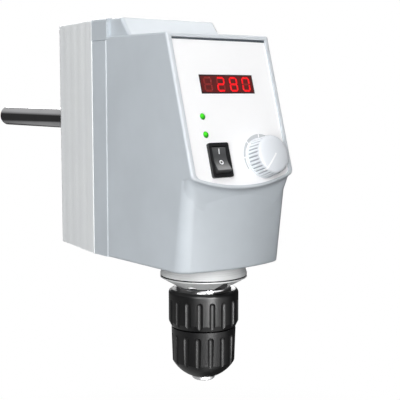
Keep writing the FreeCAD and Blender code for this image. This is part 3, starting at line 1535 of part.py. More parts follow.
def chuck_jaws():
    """Three jaws: a sloping pin cut back to a gripping face and two flanks, drawn in the open position."""
    tip = S.jaw_tip + jaw_travel * jaw_cos
    pin = new_body("jaw_pin", node=False)
    start = (tip + S.jaw_apex) / jaw_cos - S.jaw_radius
    section = circle(new_sketch(pin, "XY_Plane", jaw_axis(start)), 0, 0, S.jaw_radius)
    extrude("Pad", pin, section, S.jaw_length)
    wedge = new_body("jaw_wedge", node=False)
    near_half = S.jaw_closed * math.sqrt(3) - S.jaw_gap
    far_half = (S.jaw_closed + S.jaw_flank) * math.sqrt(3) - S.jaw_gap
    far_x = S.jaw_open + S.jaw_flank
    plan = outline(new_sketch(wedge, "XY_Plane", tip), [
        (S.jaw_open, -near_half), (far_x, -far_half), (far_x, far_half), (S.jaw_open, near_half)])
    extrude("Pad", wedge, plan, S.jaw_length * 2)
    jaw = doc.addObject("Part::Common", "jaw_blank")
    jaw.Base = pin
    jaw.Tool = wedge
    doc.recompute()
    count = int(S.jaws.value)
    for index in range(count):
        group(f"chuck_jaw_{index + 1}", jaw,
              [Placement(Vector(0, 0, 0), Rotation(Vector(0, 0, 1), 360 / count * index))])


BUILDERS = (
    front_housing, mid_frame, top_cap, rear_cover, case_screws, frame_screws,
    control_panel, display_window, display_module, indicator_leds, switch_body, switch_rocker, rocker_pin,
    potentiometer_body, potentiometer_nut, potentiometer_shaft, speed_knob, knob_cap, knob_pointer,
    control_board, board_pillars,
    power_board, power_pillars, power_transformer, power_capacitors, mains_inlet, inlet_pins,
    support_rod, rod_collar,
    spindle_carrier, motor_can, motor_end_cap, stator_core, stator_windings, rotor_core, rotor_magnets,
    spindle,
    bearing_outer_rings, bearing_inner_rings, bearing_balls,
    nose_ring, nose_gasket, nose_cone, nose_seal, nose_screws,
    chuck_body, chuck_upper_sleeve, chuck_lower_sleeve, chuck_nut, chuck_jaws,
)
for builder in BUILDERS:
    builder()
doc.recompute()

# Every feature has to be sound before anything is written

faults = [item.Label for item in doc.Objects if "Invalid" in item.State or "Error" in item.State]
for node in NODES:
    if node.Shape.isNull() or not node.Shape.isValid() or not node.Shape.Solids:
        faults.append(node.Label)
if faults:
    raise RuntimeError("unsound: " + ", ".join(faults))
os.makedirs("parts", exist_ok=True)
for node in NODES:
    node.Shape.exportStep(f"parts/{node.Label}.step")
print(len(NODES), "nodes written")
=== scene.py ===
"""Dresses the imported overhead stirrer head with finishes, printed marks, a lit display and studio light."""

import logging
import math
from dataclasses import dataclass, field
from enum import Enum
from typing import Any, Callable, Iterable, Optional, Sequence, Union

import bmesh
import bpy
from mathutils import Euler, Matrix, Vector

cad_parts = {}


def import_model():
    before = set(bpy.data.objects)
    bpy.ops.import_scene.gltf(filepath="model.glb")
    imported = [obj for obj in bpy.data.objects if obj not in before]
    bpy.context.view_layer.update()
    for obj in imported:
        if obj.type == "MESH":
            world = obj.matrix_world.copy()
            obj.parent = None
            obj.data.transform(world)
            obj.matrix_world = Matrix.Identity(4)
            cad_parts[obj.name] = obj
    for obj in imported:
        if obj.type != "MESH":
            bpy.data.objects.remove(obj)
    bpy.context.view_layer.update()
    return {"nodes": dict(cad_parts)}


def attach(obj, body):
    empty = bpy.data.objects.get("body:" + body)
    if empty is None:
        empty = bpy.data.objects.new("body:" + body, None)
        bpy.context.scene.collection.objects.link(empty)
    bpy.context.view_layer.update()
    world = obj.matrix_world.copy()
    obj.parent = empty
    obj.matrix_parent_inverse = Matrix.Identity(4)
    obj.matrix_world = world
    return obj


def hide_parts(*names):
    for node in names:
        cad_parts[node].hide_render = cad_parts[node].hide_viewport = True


LOG = logging.getLogger("stirrer")
Colour = tuple[float, float, float]
Point2 = tuple[float, float]
Point3 = tuple[float, float, float]
Feed = Union["Wire", float, int, Sequence[float]]
Feeds = dict[Union[int, str], Feed]
Dressing = dict[str, tuple[str, ...]]

WHITE: Colour = (1.0, 1.0, 1.0)
# The parts of a noise's range that are spread out to its two ends, for soft clouds and for flecks
CLOUDED: Point2 = (0.3, 0.7)
FLECKED: Point2 = (0.25, 0.75)


class Body(Enum):
    """The rigid bodies of the stirrer that carry extra pieces."""

    HOUSING = "housing"
    KNOB = "knob"
    ROCKER = "rocker"


class Sweep(Enum):
    """Whether a drawn line comes back to its start."""

    OPEN = False
    CLOSED = True


class Glow(Enum):
    """What a lamp does: light everything, or only show as a highlight."""

    FULL = "full"
    GLOSS = "gloss"


def screen(red: float, green: float, blue: float) -> Colour:
    """Turns a colour as seen on a screen, 0 to 255, into the linear values that shaders use.

    Args:
        red: Red as shown.
        green: Green as shown.
        blue: Blue as shown.

    Returns:
        The linear colour.
    """
    def linear(value: float) -> float:
        """Undoes the screen's transfer curve for one channel."""
        share = value / 255.0
        return share / 12.92 if share <= 0.04045 else ((share + 0.055) / 1.055) ** 2.4

    return linear(red), linear(green), linear(blue)


def toned(colour: Colour, share: float) -> Colour:
    """Gives a colour made darker, or lighter up to full, by one factor."""
    red, green, blue = (min(1.0, channel * share) for channel in colour)
    return red, green, blue


class Wire:
    """One value socket that can be used in arithmetic; each step adds a Math node."""

    def __init__(self, shader: "Shader", socket: bpy.types.NodeSocket) -> None:
        """Keeps the socket and the shader that it belongs to."""
        self.shader = shader
        self.socket = socket

    def _join(self, operation: str, first: Feed, second: Feed = 0.0) -> "Wire":
        """Adds one Math node and gives its result."""
        return self.shader.node("ShaderNodeMath", {"operation": operation}, {0: first, 1: second})

    def __add__(self, other: Feed) -> "Wire":
        """Adds."""
        return self._join("ADD", self, other)

    __radd__ = __add__

    def __sub__(self, other: Feed) -> "Wire":
        """Subtracts."""
        return self._join("SUBTRACT", self, other)

    def __rsub__(self, other: Feed) -> "Wire":
        """Subtracts this from a number."""
        return self._join("SUBTRACT", other, self)

    def __mul__(self, other: Feed) -> "Wire":
        """Multiplies."""
        return self._join("MULTIPLY", self, other)

    __rmul__ = __mul__

    def __truediv__(self, other: Feed) -> "Wire":
        """Divides."""
        return self._join("DIVIDE", self, other)

    def __rtruediv__(self, other: Feed) -> "Wire":
        """Divides a number by this."""
        return self._join("DIVIDE", other, self)

    def most(self, other: Feed) -> "Wire":
        """Gives the larger of two values."""
        return self._join("MAXIMUM", self, other)

    def wrap(self, length: float) -> "Wire":
        """Gives what is left after whole lengths are taken away."""
        return self._join("FLOORED_MODULO", self, length)

    def sine(self) -> "Wire":
        """Gives the sine."""
        return self._join("SINE", self)

    def root(self) -> "Wire":
        """Gives the square root."""
        return self._join("SQRT", self)


class Shader:
    """The node tree of a material or of the world, with one way to add any node."""

    def __init__(self, owner: Union[bpy.types.Material, bpy.types.World]) -> None:
        """Starts with an empty node tree.

        Args:
            owner: The material or world.
        """
        owner.use_nodes = True
        self.owner = owner
        self.tree = owner.node_tree
        self.tree.nodes.clear()

    @classmethod
    def material(cls, name: str) -> "Shader":
        """Starts a new material."""
        return cls(bpy.data.materials.new(name))

    def node(self, kind: str, settings: Optional[dict[str, Any]] = None, feeds: Optional[Feeds] = None,
             out: Union[int, str] = 0) -> Wire:
        """Adds a node.

        Args:
            kind: The node's type name.
            settings: Properties set before its sockets.
            feeds: Values or links for its inputs, by name or number.
            out: The output that is returned.

        Returns:
            The chosen output.
        """
        node = self.tree.nodes.new(kind)
        for name, value in (settings or {}).items():
            setattr(node, name, value)
        for key, feed in (feeds or {}).items():
            socket = node.inputs[key]
            if isinstance(feed, Wire):
                self.tree.links.new(feed.socket, socket)
            elif isinstance(feed, tuple) and len(feed) < len(socket.default_value):
                socket.default_value = (*feed, 1.0)
            else:
                socket.default_value = feed
        return Wire(self, node.outputs[out] if len(node.outputs) else None)

    def place(self) -> Wire:
        """Gives the place on the object, in metres."""
        return self.node("ShaderNodeTexCoord", out="Object")

    def outputs(self, wire: Wire, *names: Union[int, str]) -> tuple[Wire, ...]:
        """Gives several outputs of the node that a wire comes from."""
        return tuple(Wire(self, wire.socket.node.outputs[name]) for name in names)

    def axes(self, vector: Wire) -> tuple[Wire, ...]:
        """Splits a vector into its values along X, Y and Z."""
        return self.outputs(self.node("ShaderNodeSeparateXYZ", feeds={0: vector}), 0, 1, 2)

    def looks(self) -> tuple[Wire, Wire]:
        """Tells if a ray looks straight at a surface, also through glass, and if a gloss mirrors it."""
        camera, through, glossy = self.outputs(
            self.node("ShaderNodeLightPath"), "Is Camera Ray", "Is Transmission Ray", "Is Glossy Ray")
        return camera.most(through), glossy

    def noise(self, scale: float, detail: float = 3.0, stretch: Optional[Sequence[float]] = None) -> Wire:
        """Adds cloud noise in the object's own space.

        Args:
            scale: Cells per metre.
            detail: Octaves.
            stretch: A factor per axis, for grain that runs one way.

        Returns:
            The noise, 0 to 1.
        """
        place = self.place()
        if stretch is not None:
            place = self.node("ShaderNodeVectorMath", {"operation": "MULTIPLY"}, {0: place, 1: stretch})
        return self.node("ShaderNodeTexNoise", feeds={"Vector": place, "Scale": scale, "Detail": detail})

    def spread(self, value: Wire, low: float, high: float, to_low: float = 0.0,
               to_high: float = 1.0) -> Wire:
        """Maps a value from one range to another and clamps it."""
        return self.node("ShaderNodeMapRange", {"clamp": True},
                         {0: value, 1: low, 2: high, 3: to_low, 4: to_high})

    def mix(self, share: Feed, first: Feed, second: Feed) -> Wire:
        """Mixes two colours, by the share of the second one."""
        return self.node("ShaderNodeMix", {"data_type": "RGBA"}, {0: share, 6: first, 7: second}, out=2)

    def blend(self, share: Feed, first: Wire, second: Wire) -> Wire:
        """Mixes two whole shaders."""
        return self.node("ShaderNodeMixShader", feeds={0: share, 1: first, 2: second})

    def bump(self, height: Wire, depth: float, strength: float = 0.5) -> Wire:
        """Turns a height, 0 to 1, into a normal, by its depth in metres and the effect's strength."""
        return self.node("ShaderNodeBump", feeds={"Height": height, "Distance": depth, "Strength": strength})

    def surface(self, feeds: Feeds) -> bpy.types.Material:
        """Closes the tree with a principled surface.

        Args:
            feeds: The principled shader's values and links.

        Returns:
            The finished material.
        """
        shader = self.node("ShaderNodeBsdfPrincipled", feeds=feeds)
        self.node("ShaderNodeOutputMaterial", feeds={"Surface": shader})
        return self.owner


@dataclass
class Slope:
    """The sloping panel's plane, in metres, with places given across and down from its top edge."""

    front_y: float = -0.0158
    top_z: float = 0.2275
    tilt: float = math.radians(16.5)
    rim: float = 0.001
    control_drop: float = 0.0814
    knob_across: float = 0.0171

    def lay(self, across: float, drop: float, lift: float = 0.0, tip: float = 0.0) -> Matrix:
        """Where a flat drawing goes on the slope.

        Args:
            across: Distance to the right of the middle.
            drop: Distance down the slope.
            lift: Height over the white panel's face.
            tip: A turn about the drawing's own X axis.

        Returns:
            The placing matrix.
        """
        lean = Matrix.Rotation(math.pi / 2 - self.tilt, 4, "X")
        top = Matrix.Translation((0.0, self.front_y, self.top_z))
        move = Matrix.Translation((across, -drop, lift - self.rim))
        return top @ lean @ move @ Matrix.Rotation(tip, 4, "X")

    def lay_dial(self) -> Matrix:
        """Where a flat drawing about the speed dial's middle goes."""
        return self.lay(self.knob_across, self.control_drop)

    def lift(self, y: Wire, z: Wire, origin: Point2) -> Wire:
        """Gives how far a place stands out of the slope, from a point given by its Y and Z."""
        return (z - origin[1]) * math.sin(self.tilt) - (y - origin[0]) * math.cos(self.tilt)


@dataclass(frozen=True)
class Moulded:
    """Satin moulded or painted plastic with a fine spark texture and faint clouding."""

    name: str
    colour: Colour
    roughness: float
    grain: float = 2600.0
    depth: float = 0.00003
    clouding: float = 0.03
    specular: float = 0.5
    clouds: float = 38.0
    dulling: float = 0.05
    sparkle: float = 0.03

    def make(self) -> bpy.types.Material:
        """Builds the material.

        Returns:
            The material.
        """
        shader = Shader.material(self.name)
        clouds = shader.spread(shader.noise(self.clouds, detail=4.0), *CLOUDED)
        fine = shader.noise(self.grain, detail=2.0)
        dark, light = toned(self.colour, 1.0 - self.clouding), toned(self.colour, 1.0 + self.clouding)
        speck = shader.spread(fine, *FLECKED, -self.sparkle, self.sparkle)
        return shader.surface({
            "Base Color": self.paint(shader, shader.mix(clouds, dark, light)),
            "Roughness": self.roughness + clouds * self.dulling + speck,
            "Specular IOR Level": self.specular,
            "Normal": shader.bump(fine, self.depth),
        })

    def paint(self, shader: Shader, plain: Wire) -> Wire:
        """Gives the colour, from the plain one with its clouding."""
        return plain


@dataclass(frozen=True)
class Smooth(Moulded):
    """Plastic or print with hardly any texture."""

    grain: float = 1500.0
    depth: float = 0.00001


@dataclass(frozen=True)
class FramePaintedLight(Moulded):
    """Moulded plastic with a painted highlight: paler on the frame round the sloping panel, where the front
    light falls strongest.
    """

    # frame is the colour of the painted highlight on the panel's frame
    frame: Colour = field(kw_only=True)
    reach: Point2 = (-0.0012, 0.0002)

    def paint(self, shader: Shader, plain: Wire) -> Wire:
        """Gives the colour with a painted highlight, paler close to the plane of the panel's frame.

        Args:
            shader: The material's node tree.
            plain: The plain colour.

        Returns:
            The colour.
        """
        _, y, z = shader.axes(shader.place())
        slope = Slope()
        lift = slope.lift(y, z, (slope.front_y, slope.top_z))
        return shader.mix(shader.spread(lift, *self.reach), plain, self.frame)


@dataclass(frozen=True)
class Ribbed:
    """Moulded plastic of the speed dial, with painted shade darkening it down in the grooves between its
    ribs.
    """

    name: str
    colour: Colour
    # shade is the colour of the painted shade down in the grooves
    shade: Colour
    foot: float = 0.0130
    draft: float = 0.05
    groove: Point2 = (0.0002, 0.0008)
    shoulder: Point2 = (0.0118, 0.0098)
    roughness: float = 0.38
    sparkle: Point2 = (-0.03, 0.05)
    specular: float = 0.4
    grain: float = 1800.0
    depth: float = 0.00001

    def make(self) -> bpy.types.Material:
        """Builds the material.

        Returns:
            The material.
        """
        shader = Shader.material(self.name)
        x, y, z = shader.axes(shader.place())
        slope = Slope()
        centre = slope.lay_dial().translation
        lift = slope.lift(y, z, (centre.y, centre.z))
        along = (y - centre.y) * math.sin(slope.tilt) + (z - centre.z) * math.cos(slope.tilt)
        side = x - slope.knob_across
        depth = self.foot - lift * self.draft - (side * side + along * along).root()
        # Painted shade: darker the deeper a place lies under the ribs' outer line, fading out towards the
        # dome
        groove_painted_shade = shader.spread(depth, *self.groove) * shader.spread(lift, *self.shoulder)
        fine = shader.noise(self.grain, detail=2.0)
        return shader.surface({
            "Base Color": shader.mix(groove_painted_shade, self.colour, self.shade),
            "Roughness": self.roughness + shader.spread(fine, *FLECKED, *self.sparkle),
            "Specular IOR Level": self.specular,
            "Normal": shader.bump(fine, self.depth),
        })


@dataclass(frozen=True)
class Turned:
    """Metal turned on a lathe about the spindle, with fine rings."""

    name: str
    colour: Colour
    roughness: float = 0.28
    rings: float = 5200.0
    depth: float = 0.000012
    metallic: float = 1.0
    climb: float = 0.83
    smears: float = 60.0
    smearing: float = 0.08
    grooving: float = 0.06
    shade: float = 0.84
    relief: float = 0.6

    def make(self) -> bpy.types.Material:
        """Builds the material.

        Returns:
            The material.
        """
        shader = Shader.material(self.name)
        x, y, z = shader.axes(shader.place())
        radius = (x * x + y * y).root()
        course = radius * self.rings + z * self.rings * self.climb
        groove = shader.node("ShaderNodeTexNoise", {"noise_dimensions": "1D"},
                             {"W": course, "Scale": 1.0, "Detail": 2.0})
        smears = shader.spread(shader.noise(self.smears, detail=4.0), *CLOUDED)
        tone = shader.spread(groove, *CLOUDED)
        return shader.surface({
            "Base Color": self.paint(shader, tone, (x, y, z)),
            "Metallic": self.metallic,
            "Roughness": self.roughness + smears * self.smearing + tone * self.grooving,
            "Normal": shader.bump(groove, self.depth, self.relief),
        })

    def paint(self, shader: Shader, tone: Wire, place: tuple[Wire, Wire, Wire]) -> Wire:
        """Gives the metal's colour, from the rings' tone."""
        return shader.mix(tone, toned(self.colour, self.shade), self.colour)


@dataclass(frozen=True)
class Slotted(Turned):
    """Turned metal with a spanner slot at its front, with painted shade inside it and bare side walls."""

    # The colour of the painted shade inside the slot
    slot_painted_shade: Colour = (0.012, 0.012, 0.013)
    half_width: Point2 = (0.00497, 0.00470)
    front: Point2 = (-0.0105, -0.0112)
    roof: Point2 = (0.06915, 0.06900)

    def paint(self, shader: Shader, tone: Wire, place: tuple[Wire, Wire, Wire]) -> Wire:
        """Gives the metal's colour, with painted shade in the slot.

        Args:
            shader: The material's node tree.
            tone: The rings' tone, 0 to 1.
            place: The place on the object along each axis.

        Returns:
            The colour.
        """
        x, y, z = place
        # Mask of the painted shade inside the slot
        across = shader.spread((x * x).root(), *self.half_width)
        slot = across * shader.spread(y, *self.front) * shader.spread(z, *self.roof)
        return shader.mix(slot, super().paint(shader, tone, place), self.slot_painted_shade)


@dataclass(frozen=True)
class Polished:
    """Bright plated metal with faint lengthwise drawing marks and finger smears."""

    name: str
    colour: Colour
    roughness: float = 0.07
    stretch: Point3 = (1.0, 0.02, 1.0)
    marks: float = 1800.0
    marking: float = 0.03
    smears: float = 45.0
    smeared: Point2 = (0.45, 0.75)
    smearing: float = 0.06
    shade: float = 0.9
    depth: float = 0.000004
    relief: float = 0.4

    def make(self) -> bpy.types.Material:
        """Builds the material.

        Returns:
            The material.
        """
        shader = Shader.material(self.name)
        marks = shader.noise(self.marks, stretch=self.stretch)
        smears = shader.spread(shader.noise(self.smears, detail=5.0), *self.smeared)
        return shader.surface({
            "Base Color": shader.mix(smears, self.colour, toned(self.colour, self.shade)),
            "Metallic": 1.0,
            "Roughness": self.roughness + smears * self.smearing + marks * self.marking,
            "Normal": shader.bump(marks, self.depth, self.relief),
        })


@dataclass(frozen=True)
class Core:
    """The chuck's core: a satin tip, a bright collar and painted shade between them, dark where the core
    shows in the gap between the sleeves.
    """

    name: str
    bright: Colour
    # The colour of the painted shade between tip and collar, seen in the gap between the sleeves
    gap_painted_shade: Colour
    tip: Point2 = (0.0045, 0.0035)
    collar: Point2 = (0.0590, 0.0600)
    roughness: float = 0.09
    satin: float = 0.3
    smears: float = 90.0
    smeared: Point2 = (0.4, 0.7)
    smearing: float = 0.05
    grain: float = 1500.0
    depth: float = 0.000004
    relief: float = 0.4

    def make(self) -> bpy.types.Material:
        """Builds the material.

        Returns:
            The material.
        """
        shader = Shader.material(self.name)
        _, _, z = shader.axes(shader.place())
        tip = shader.spread(z, *self.tip)
        # Outside the tip and the collar the colour is painted shade
        bare = tip.most(shader.spread(z, *self.collar))
        smears = shader.spread(shader.noise(self.smears, detail=4.0), *self.smeared)
        return shader.surface({
            "Base Color": shader.mix(bare, self.gap_painted_shade, self.bright),
            "Metallic": 1.0,
            "Roughness": self.roughness + tip * self.satin + smears * self.smearing,
            "Normal": shader.bump(shader.noise(self.grain, detail=2.0), self.depth, self.relief),
        })


@dataclass(frozen=True)
class Cast:
    """Cast or stacked metal with a granular skin."""

    name: str
    colour: Colour
    metallic: float = 1.0
    roughness: float = 0.45
    grain: float = 900.0
    layers: float = 0.0
    skin_share: float = 0.3
    layer_share: float = 0.5
    toning: Point2 = (0.2, 0.8)
    shade: float = 0.72
    dulling: float = 0.12
    depth: float = 0.00006

    def make(self) -> bpy.types.Material:
        """Builds the material.

        Returns:
            The material.
        """
        shader = Shader.material(self.name)
        skin = shader.noise(self.grain, detail=4.0)
        height = skin
        if self.layers:
            _, _, z = shader.axes(shader.place())
            height = skin * self.skin_share + (z * self.layers).sine() * self.layer_share
        dark = toned(self.colour, self.shade)
        return shader.surface({
            "Base Color": shader.mix(shader.spread(height, *self.toning), dark, self.colour),
            "Metallic": self.metallic,
            "Roughness": self.roughness + skin * self.dulling,
            "Normal": shader.bump(height, self.depth),
        })


@dataclass(frozen=True)
class Wound:
    """Enamelled copper wire laid in turns."""

    name: str
    colour: Colour
    turns: float = 9000.0
    shade: float = 0.45
    metallic: float = 0.85
    roughness: float = 0.28
    dulling: float = 0.1
    depth: float = 0.00008
    relief: float = 0.7

    def make(self) -> bpy.types.Material:
        """Builds the material.

        Returns:
            The material.
        """
        shader = Shader.material(self.name)
        x, y, _ = shader.axes(shader.place())
        strand = ((x + y) * self.turns).sine() * 0.5 + 0.5
        return shader.surface({
            "Base Color": shader.mix(strand, toned(self.colour, self.shade), self.colour),
            "Metallic": self.metallic,
            "Roughness": self.roughness + strand * self.dulling,
            "Normal": shader.bump(strand, self.depth, self.relief),
        })


@dataclass(frozen=True)
class Board:
    """Solder mask over copper tracks."""

    name: str
    colour: Colour
    cells: float = 260.0
    edge: Point2 = (0.25, 0.32)
    lightening: float = 1.7
    roughness: float = 0.34
    dulling: float = 0.12
    coat: float = 0.3
    depth: float = 0.00003
    relief: float = 0.6

    def make(self) -> bpy.types.Material:
        """Builds the material.

        Returns:
            The material.
        """
        shader = Shader.material(self.name)
        cells = shader.node("ShaderNodeTexVoronoi", {"distance": "MANHATTAN", "feature": "F1"},
                            {"Vector": shader.place(), "Scale": self.cells})
        track = shader.spread(cells, *self.edge)
        return shader.surface({
            "Base Color": shader.mix(track, toned(self.colour, self.lightening), self.colour),
            "Roughness": self.roughness + track * self.dulling,
            "Coat Weight": self.coat,
            "Normal": shader.bump(track, self.depth, self.relief),
        })


@dataclass(frozen=True)
class Lens:
    """A round indicator lens in a row down the slope, glowing and bright in its middle, with painted shade
    making it dark at the rim.
    """

    name: str
    bright: Colour
    # The colour of the painted shade at the lens's rim
    rim: Colour
    across: float = -0.0247
    drop: float = 0.0527
    pitch: float = 0.0115
    reach: Point2 = (0.0004, 0.0025)
    roughness: float = 0.3
    grain: float = 600.0
    dulling: float = 0.08
    strength: float = 0.32
    specular: float = 0.12

    def make(self) -> bpy.types.Material:
        """Builds the material.

        Returns:
            The material.
        """
        shader = Shader.material(self.name)
        x, y, z = shader.axes(shader.place())
        slope = Slope()
        fall = (slope.top_z - z) * math.cos(slope.tilt) + (slope.front_y - y) * math.sin(slope.tilt)
        down = fall - self.drop
        along = (down + self.pitch / 2).wrap(self.pitch) - self.pitch / 2
        side = x - self.across
        # Painted shade: darker towards the rim of the lens
        rim = shader.spread((side * side + along * along).root(), *self.reach)
        tone = shader.mix(rim, self.bright, self.rim)
        return shader.surface({
            "Base Color": tone,
            "Roughness": self.roughness + shader.noise(self.grain) * self.dulling,
            "Emission Color": tone,
            "Emission Strength": self.strength,
            "Specular IOR Level": self.specular,
        })


@dataclass(frozen=True)
class Lit:
    """Plastic that glows: a display segment, or the dark filter window in front of the digits."""

    name: str
    body: tuple[Colour, Colour]
    glow: tuple[Colour, Colour]
    strength: float
    haze: float = 900.0
    hazed: Point2 = CLOUDED
    roughness: float = 0.2
    dulling: float = 0.08
    specular: float = 0.5

    def make(self) -> bpy.types.Material:
        """Builds the material.

        Returns:
            The material.
        """
        shader = Shader.material(self.name)
        haze = shader.spread(shader.noise(self.haze, detail=2.0), *self.hazed)
        return shader.surface({
            "Base Color": shader.mix(haze, *self.body),
            "Roughness": self.roughness + haze * self.dulling,
            "Emission Color": shader.mix(haze, *self.glow),
            "Emission Strength": self.strength,
            "Specular IOR Level": self.specular,
        })


class Palette:
    """Every finish of the stirrer, made once and shared by the pieces."""

    def __init__(self) -> None:
        """Makes the materials."""
        rim = screen(60, 28, 28)
        lit = (screen(216, 22, 28), screen(240, 34, 38))
        dim = (screen(118, 41, 39), screen(130, 43, 41))
        finishes = (
            # The housing's frame colour is a painted highlight
            FramePaintedLight("housing_satin", screen(191, 198, 204), 0.5, frame=screen(212, 217, 222)),
            Moulded("frame_satin", screen(193, 200, 206), 0.34),
            Moulded("cover_satin", screen(250, 253, 255), 0.34, clouding=0.01),
            Smooth("panel_print", screen(253, 253, 254), 0.34, clouding=0.005, specular=0.35),
            Smooth("panel_ink", screen(200, 203, 206), 0.45, clouding=0.02, specular=0.3),
            Moulded("switch_black", screen(24, 24, 26), 0.3, grain=1900.0, depth=0.00002, clouding=0.08),
            Smooth("rocker_black", screen(50, 51, 53), 0.44, grain=1900.0, clouding=0.06, specular=0.9),
            # Painted shadow under the top edge of the panel's frame
            Smooth("rim_shadow_paint", screen(78, 84, 91), 0.6, specular=0.2),
            Smooth("mark_white", screen(248, 249, 251), 0.4, clouding=0.01),
            Smooth("sleeve_black", screen(12, 12, 13), 0.32, depth=0.000008, clouding=0.08, specular=0.45),
            # The dial's second colour is painted shade for the grooves between its ribs
            Ribbed("knob_white", screen(224, 228, 233), screen(156, 162, 168)),
            Smooth("knob_face", screen(214, 219, 226), 0.36, grain=1800.0, clouding=0.01, specular=0.4),
            Moulded("rubber_black", screen(30, 30, 31), 0.7, grain=1200.0, depth=0.00005, clouding=0.1,
                    specular=0.3),
            Moulded("component_black", screen(38, 38, 42), 0.45, grain=1200.0, depth=0.00004, clouding=0.1),
            Turned("turned_steel", (0.56, 0.56, 0.55)),
            Turned("turned_aluminium", (0.72, 0.73, 0.73), 0.66, rings=4200.0, metallic=0.12),
            # The nose cone's slot gets painted shade
            Slotted("nose_aluminium", (0.70, 0.71, 0.71), 0.56, rings=4200.0, metallic=0.25),
            Turned("dark_steel", (0.36, 0.36, 0.37), 0.3),
            Polished("rod_chrome", (0.43, 0.43, 0.44)),
            Polished("chuck_chrome", (0.74, 0.74, 0.74), 0.1, stretch=(1.0, 1.0, 0.05)),
            # The chuck core's dark colour is painted shade in the gap between the sleeves
            Core("chuck_core", (0.93, 0.93, 0.94), (0.02, 0.02, 0.021)),
            Cast("cast_alloy", (0.55, 0.56, 0.57)),
            Cast("lamination", (0.30, 0.30, 0.31), layers=12000.0),
            Cast("magnet_black", (0.07, 0.07, 0.075), metallic=0.4, roughness=0.5),
            Cast("contact_brass", (0.75, 0.56, 0.25), roughness=0.28),
            Wound("copper_wire", (0.72, 0.30, 0.12)),
            Board("board_green", (0.012, 0.10, 0.04)),
            Lit("window_red", (screen(96, 36, 34), rim), (screen(60, 12, 10), rim), strength=1.0, haze=220.0,
                hazed=FLECKED, roughness=0.16, dulling=0.05, specular=0.4),
            Lit("segment_lit", lit, lit, strength=0.5),
            Lit("segment_dim", dim, dim, strength=0.3),
            # The lens's second colour is painted shade at its rim
            Lens("lamp_green", screen(70, 216, 40), screen(5, 88, 5)),
        )
        self.made = {finish.name: finish.make() for finish in finishes}

    def __getitem__(self, name: str) -> bpy.types.Material:
        """Gives the material of that name."""
        return self.made[name]


class Sheet:
    """A mesh drawn in the flat and then laid on a plane of the object."""

    def __init__(self, name: str, lay: Matrix) -> None:
        """Starts an empty mesh.

        Args:
            name: The piece's name.
            lay: Where the flat drawing goes on the object.
        """
        self.name = name
        self.lay = lay
        self.mesh = bmesh.new()

    def plate(self, outline: Sequence[Point2], low: float, high: float) -> None:
        """Adds a closed plate.

        Args:
            outline: The corners, in order round the plate.
            low: Height of its underside.
            high: Height of its face.
        """
        under, face = ([self.mesh.verts.new((x, y, z)) for x, y in outline] for z in (low, high))
        self.mesh.faces.new(face)
        self.mesh.faces.new(list(reversed(under)))
        for wall in zip(under, under[1:] + under[:1], face[1:] + face[:1], face):
            self.mesh.faces.new(wall)

    def band(self, inner: Sequence[Point2], outer: Sequence[Point2], low: float, high: float,
             sweep: Sweep = Sweep.CLOSED) -> None:
        """Adds a plate between two lines with the same number of points, from low to high."""
        self.bar([[(x, y, z) for x, y in line]
                  for line, z in ((inner, low), (outer, low), (outer, high), (inner, high))], sweep)

    def bar(self, edges: Sequence[Sequence[Point3]], sweep: Sweep) -> None:
        """Adds a closed bar between four lines of points.

        Args:
            edges: The points of its four edges, in order round the bar.
            sweep: Whether the lines run all the way round.
        """
        closed = sweep is Sweep.CLOSED
        rows = [[self.mesh.verts.new(point) for point in edge] for edge in edges]
        count = len(edges[0])
        for index in range(count if closed else count - 1):
            after = (index + 1) % count
            for row, beside in zip(rows, rows[1:] + rows[:1]):
                self.mesh.faces.new((row[index], row[after], beside[after], beside[index]))
        if not closed:
            self.mesh.faces.new([row[0] for row in rows])
            self.mesh.faces.new([row[-1] for row in reversed(rows)])

    def lathe(self, outline: Sequence[Point3], notches: Sequence[float]) -> None:
        """Adds a closed form turned about the drawing's middle, with notches round its side.

        Args:
            outline: Radius, height and share of the notches' depth, from axis to axis.
            notches: How deep the form is notched at each column of points round it.
        """
        count = len(notches)
        rows: list[list[bmesh.types.BMVert]] = []
        for radius, height, share in outline:
            if not radius:
                rows.append([self.mesh.verts.new((0.0, 0.0, height))] * count)
                continue
            ring = []
            for column, notch in enumerate(notches):
                turn = 2 * math.pi * column / count
                reach = radius - notch * share
                ring.append(self.mesh.verts.new((reach * math.cos(turn), reach * math.sin(turn), height)))
            rows.append(ring)
        for low, high in zip(rows, rows[1:]):
            for column in range(count):
                after = (column + 1) % count
                loop = dict.fromkeys((low[column], low[after], high[after], high[column]))
                self.mesh.faces.new(list(loop))

    def round_off(self, sharp: float) -> None:
        """Shades the faces as one smooth skin, which breaks only at sharp edges.

        Args:
            sharp: The angle between two faces, in radians, from which their edge stays sharp.
        """
        for face in self.mesh.faces:
            face.smooth = True
        for edge in self.mesh.edges:
            edge.smooth = edge.calc_face_angle(0.0) < sharp

    def bend(self, rise: Callable[[float, float], float]) -> None:
        """Lifts every point by a height that depends on its place in the flat drawing."""
        for vertex in self.mesh.verts:
            vertex.co.z += rise(vertex.co.x, vertex.co.y)

    def finish(self, material: bpy.types.Material, body: Body, slot: str) -> bpy.types.Object:
        """Lays the mesh in its place, makes the object and puts it on its body.

        Args:
            material: The piece's finish.
            body: The body that carries it.
            slot: The record's material slot; not used.

        Returns:
            The finished object.
        """
        bmesh.ops.recalc_face_normals(self.mesh, faces=self.mesh.faces)
        data = bpy.data.meshes.new(self.name)
        self.mesh.to_mesh(data)
        self.mesh.free()
        data.transform(self.lay)
        data.materials.append(material)
        piece = bpy.data.objects.new(self.name, data)
        bpy.context.scene.collection.objects.link(piece)
        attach(piece, body.value)
        LOG.info("piece %s on %s", self.name, body.value)
        return piece


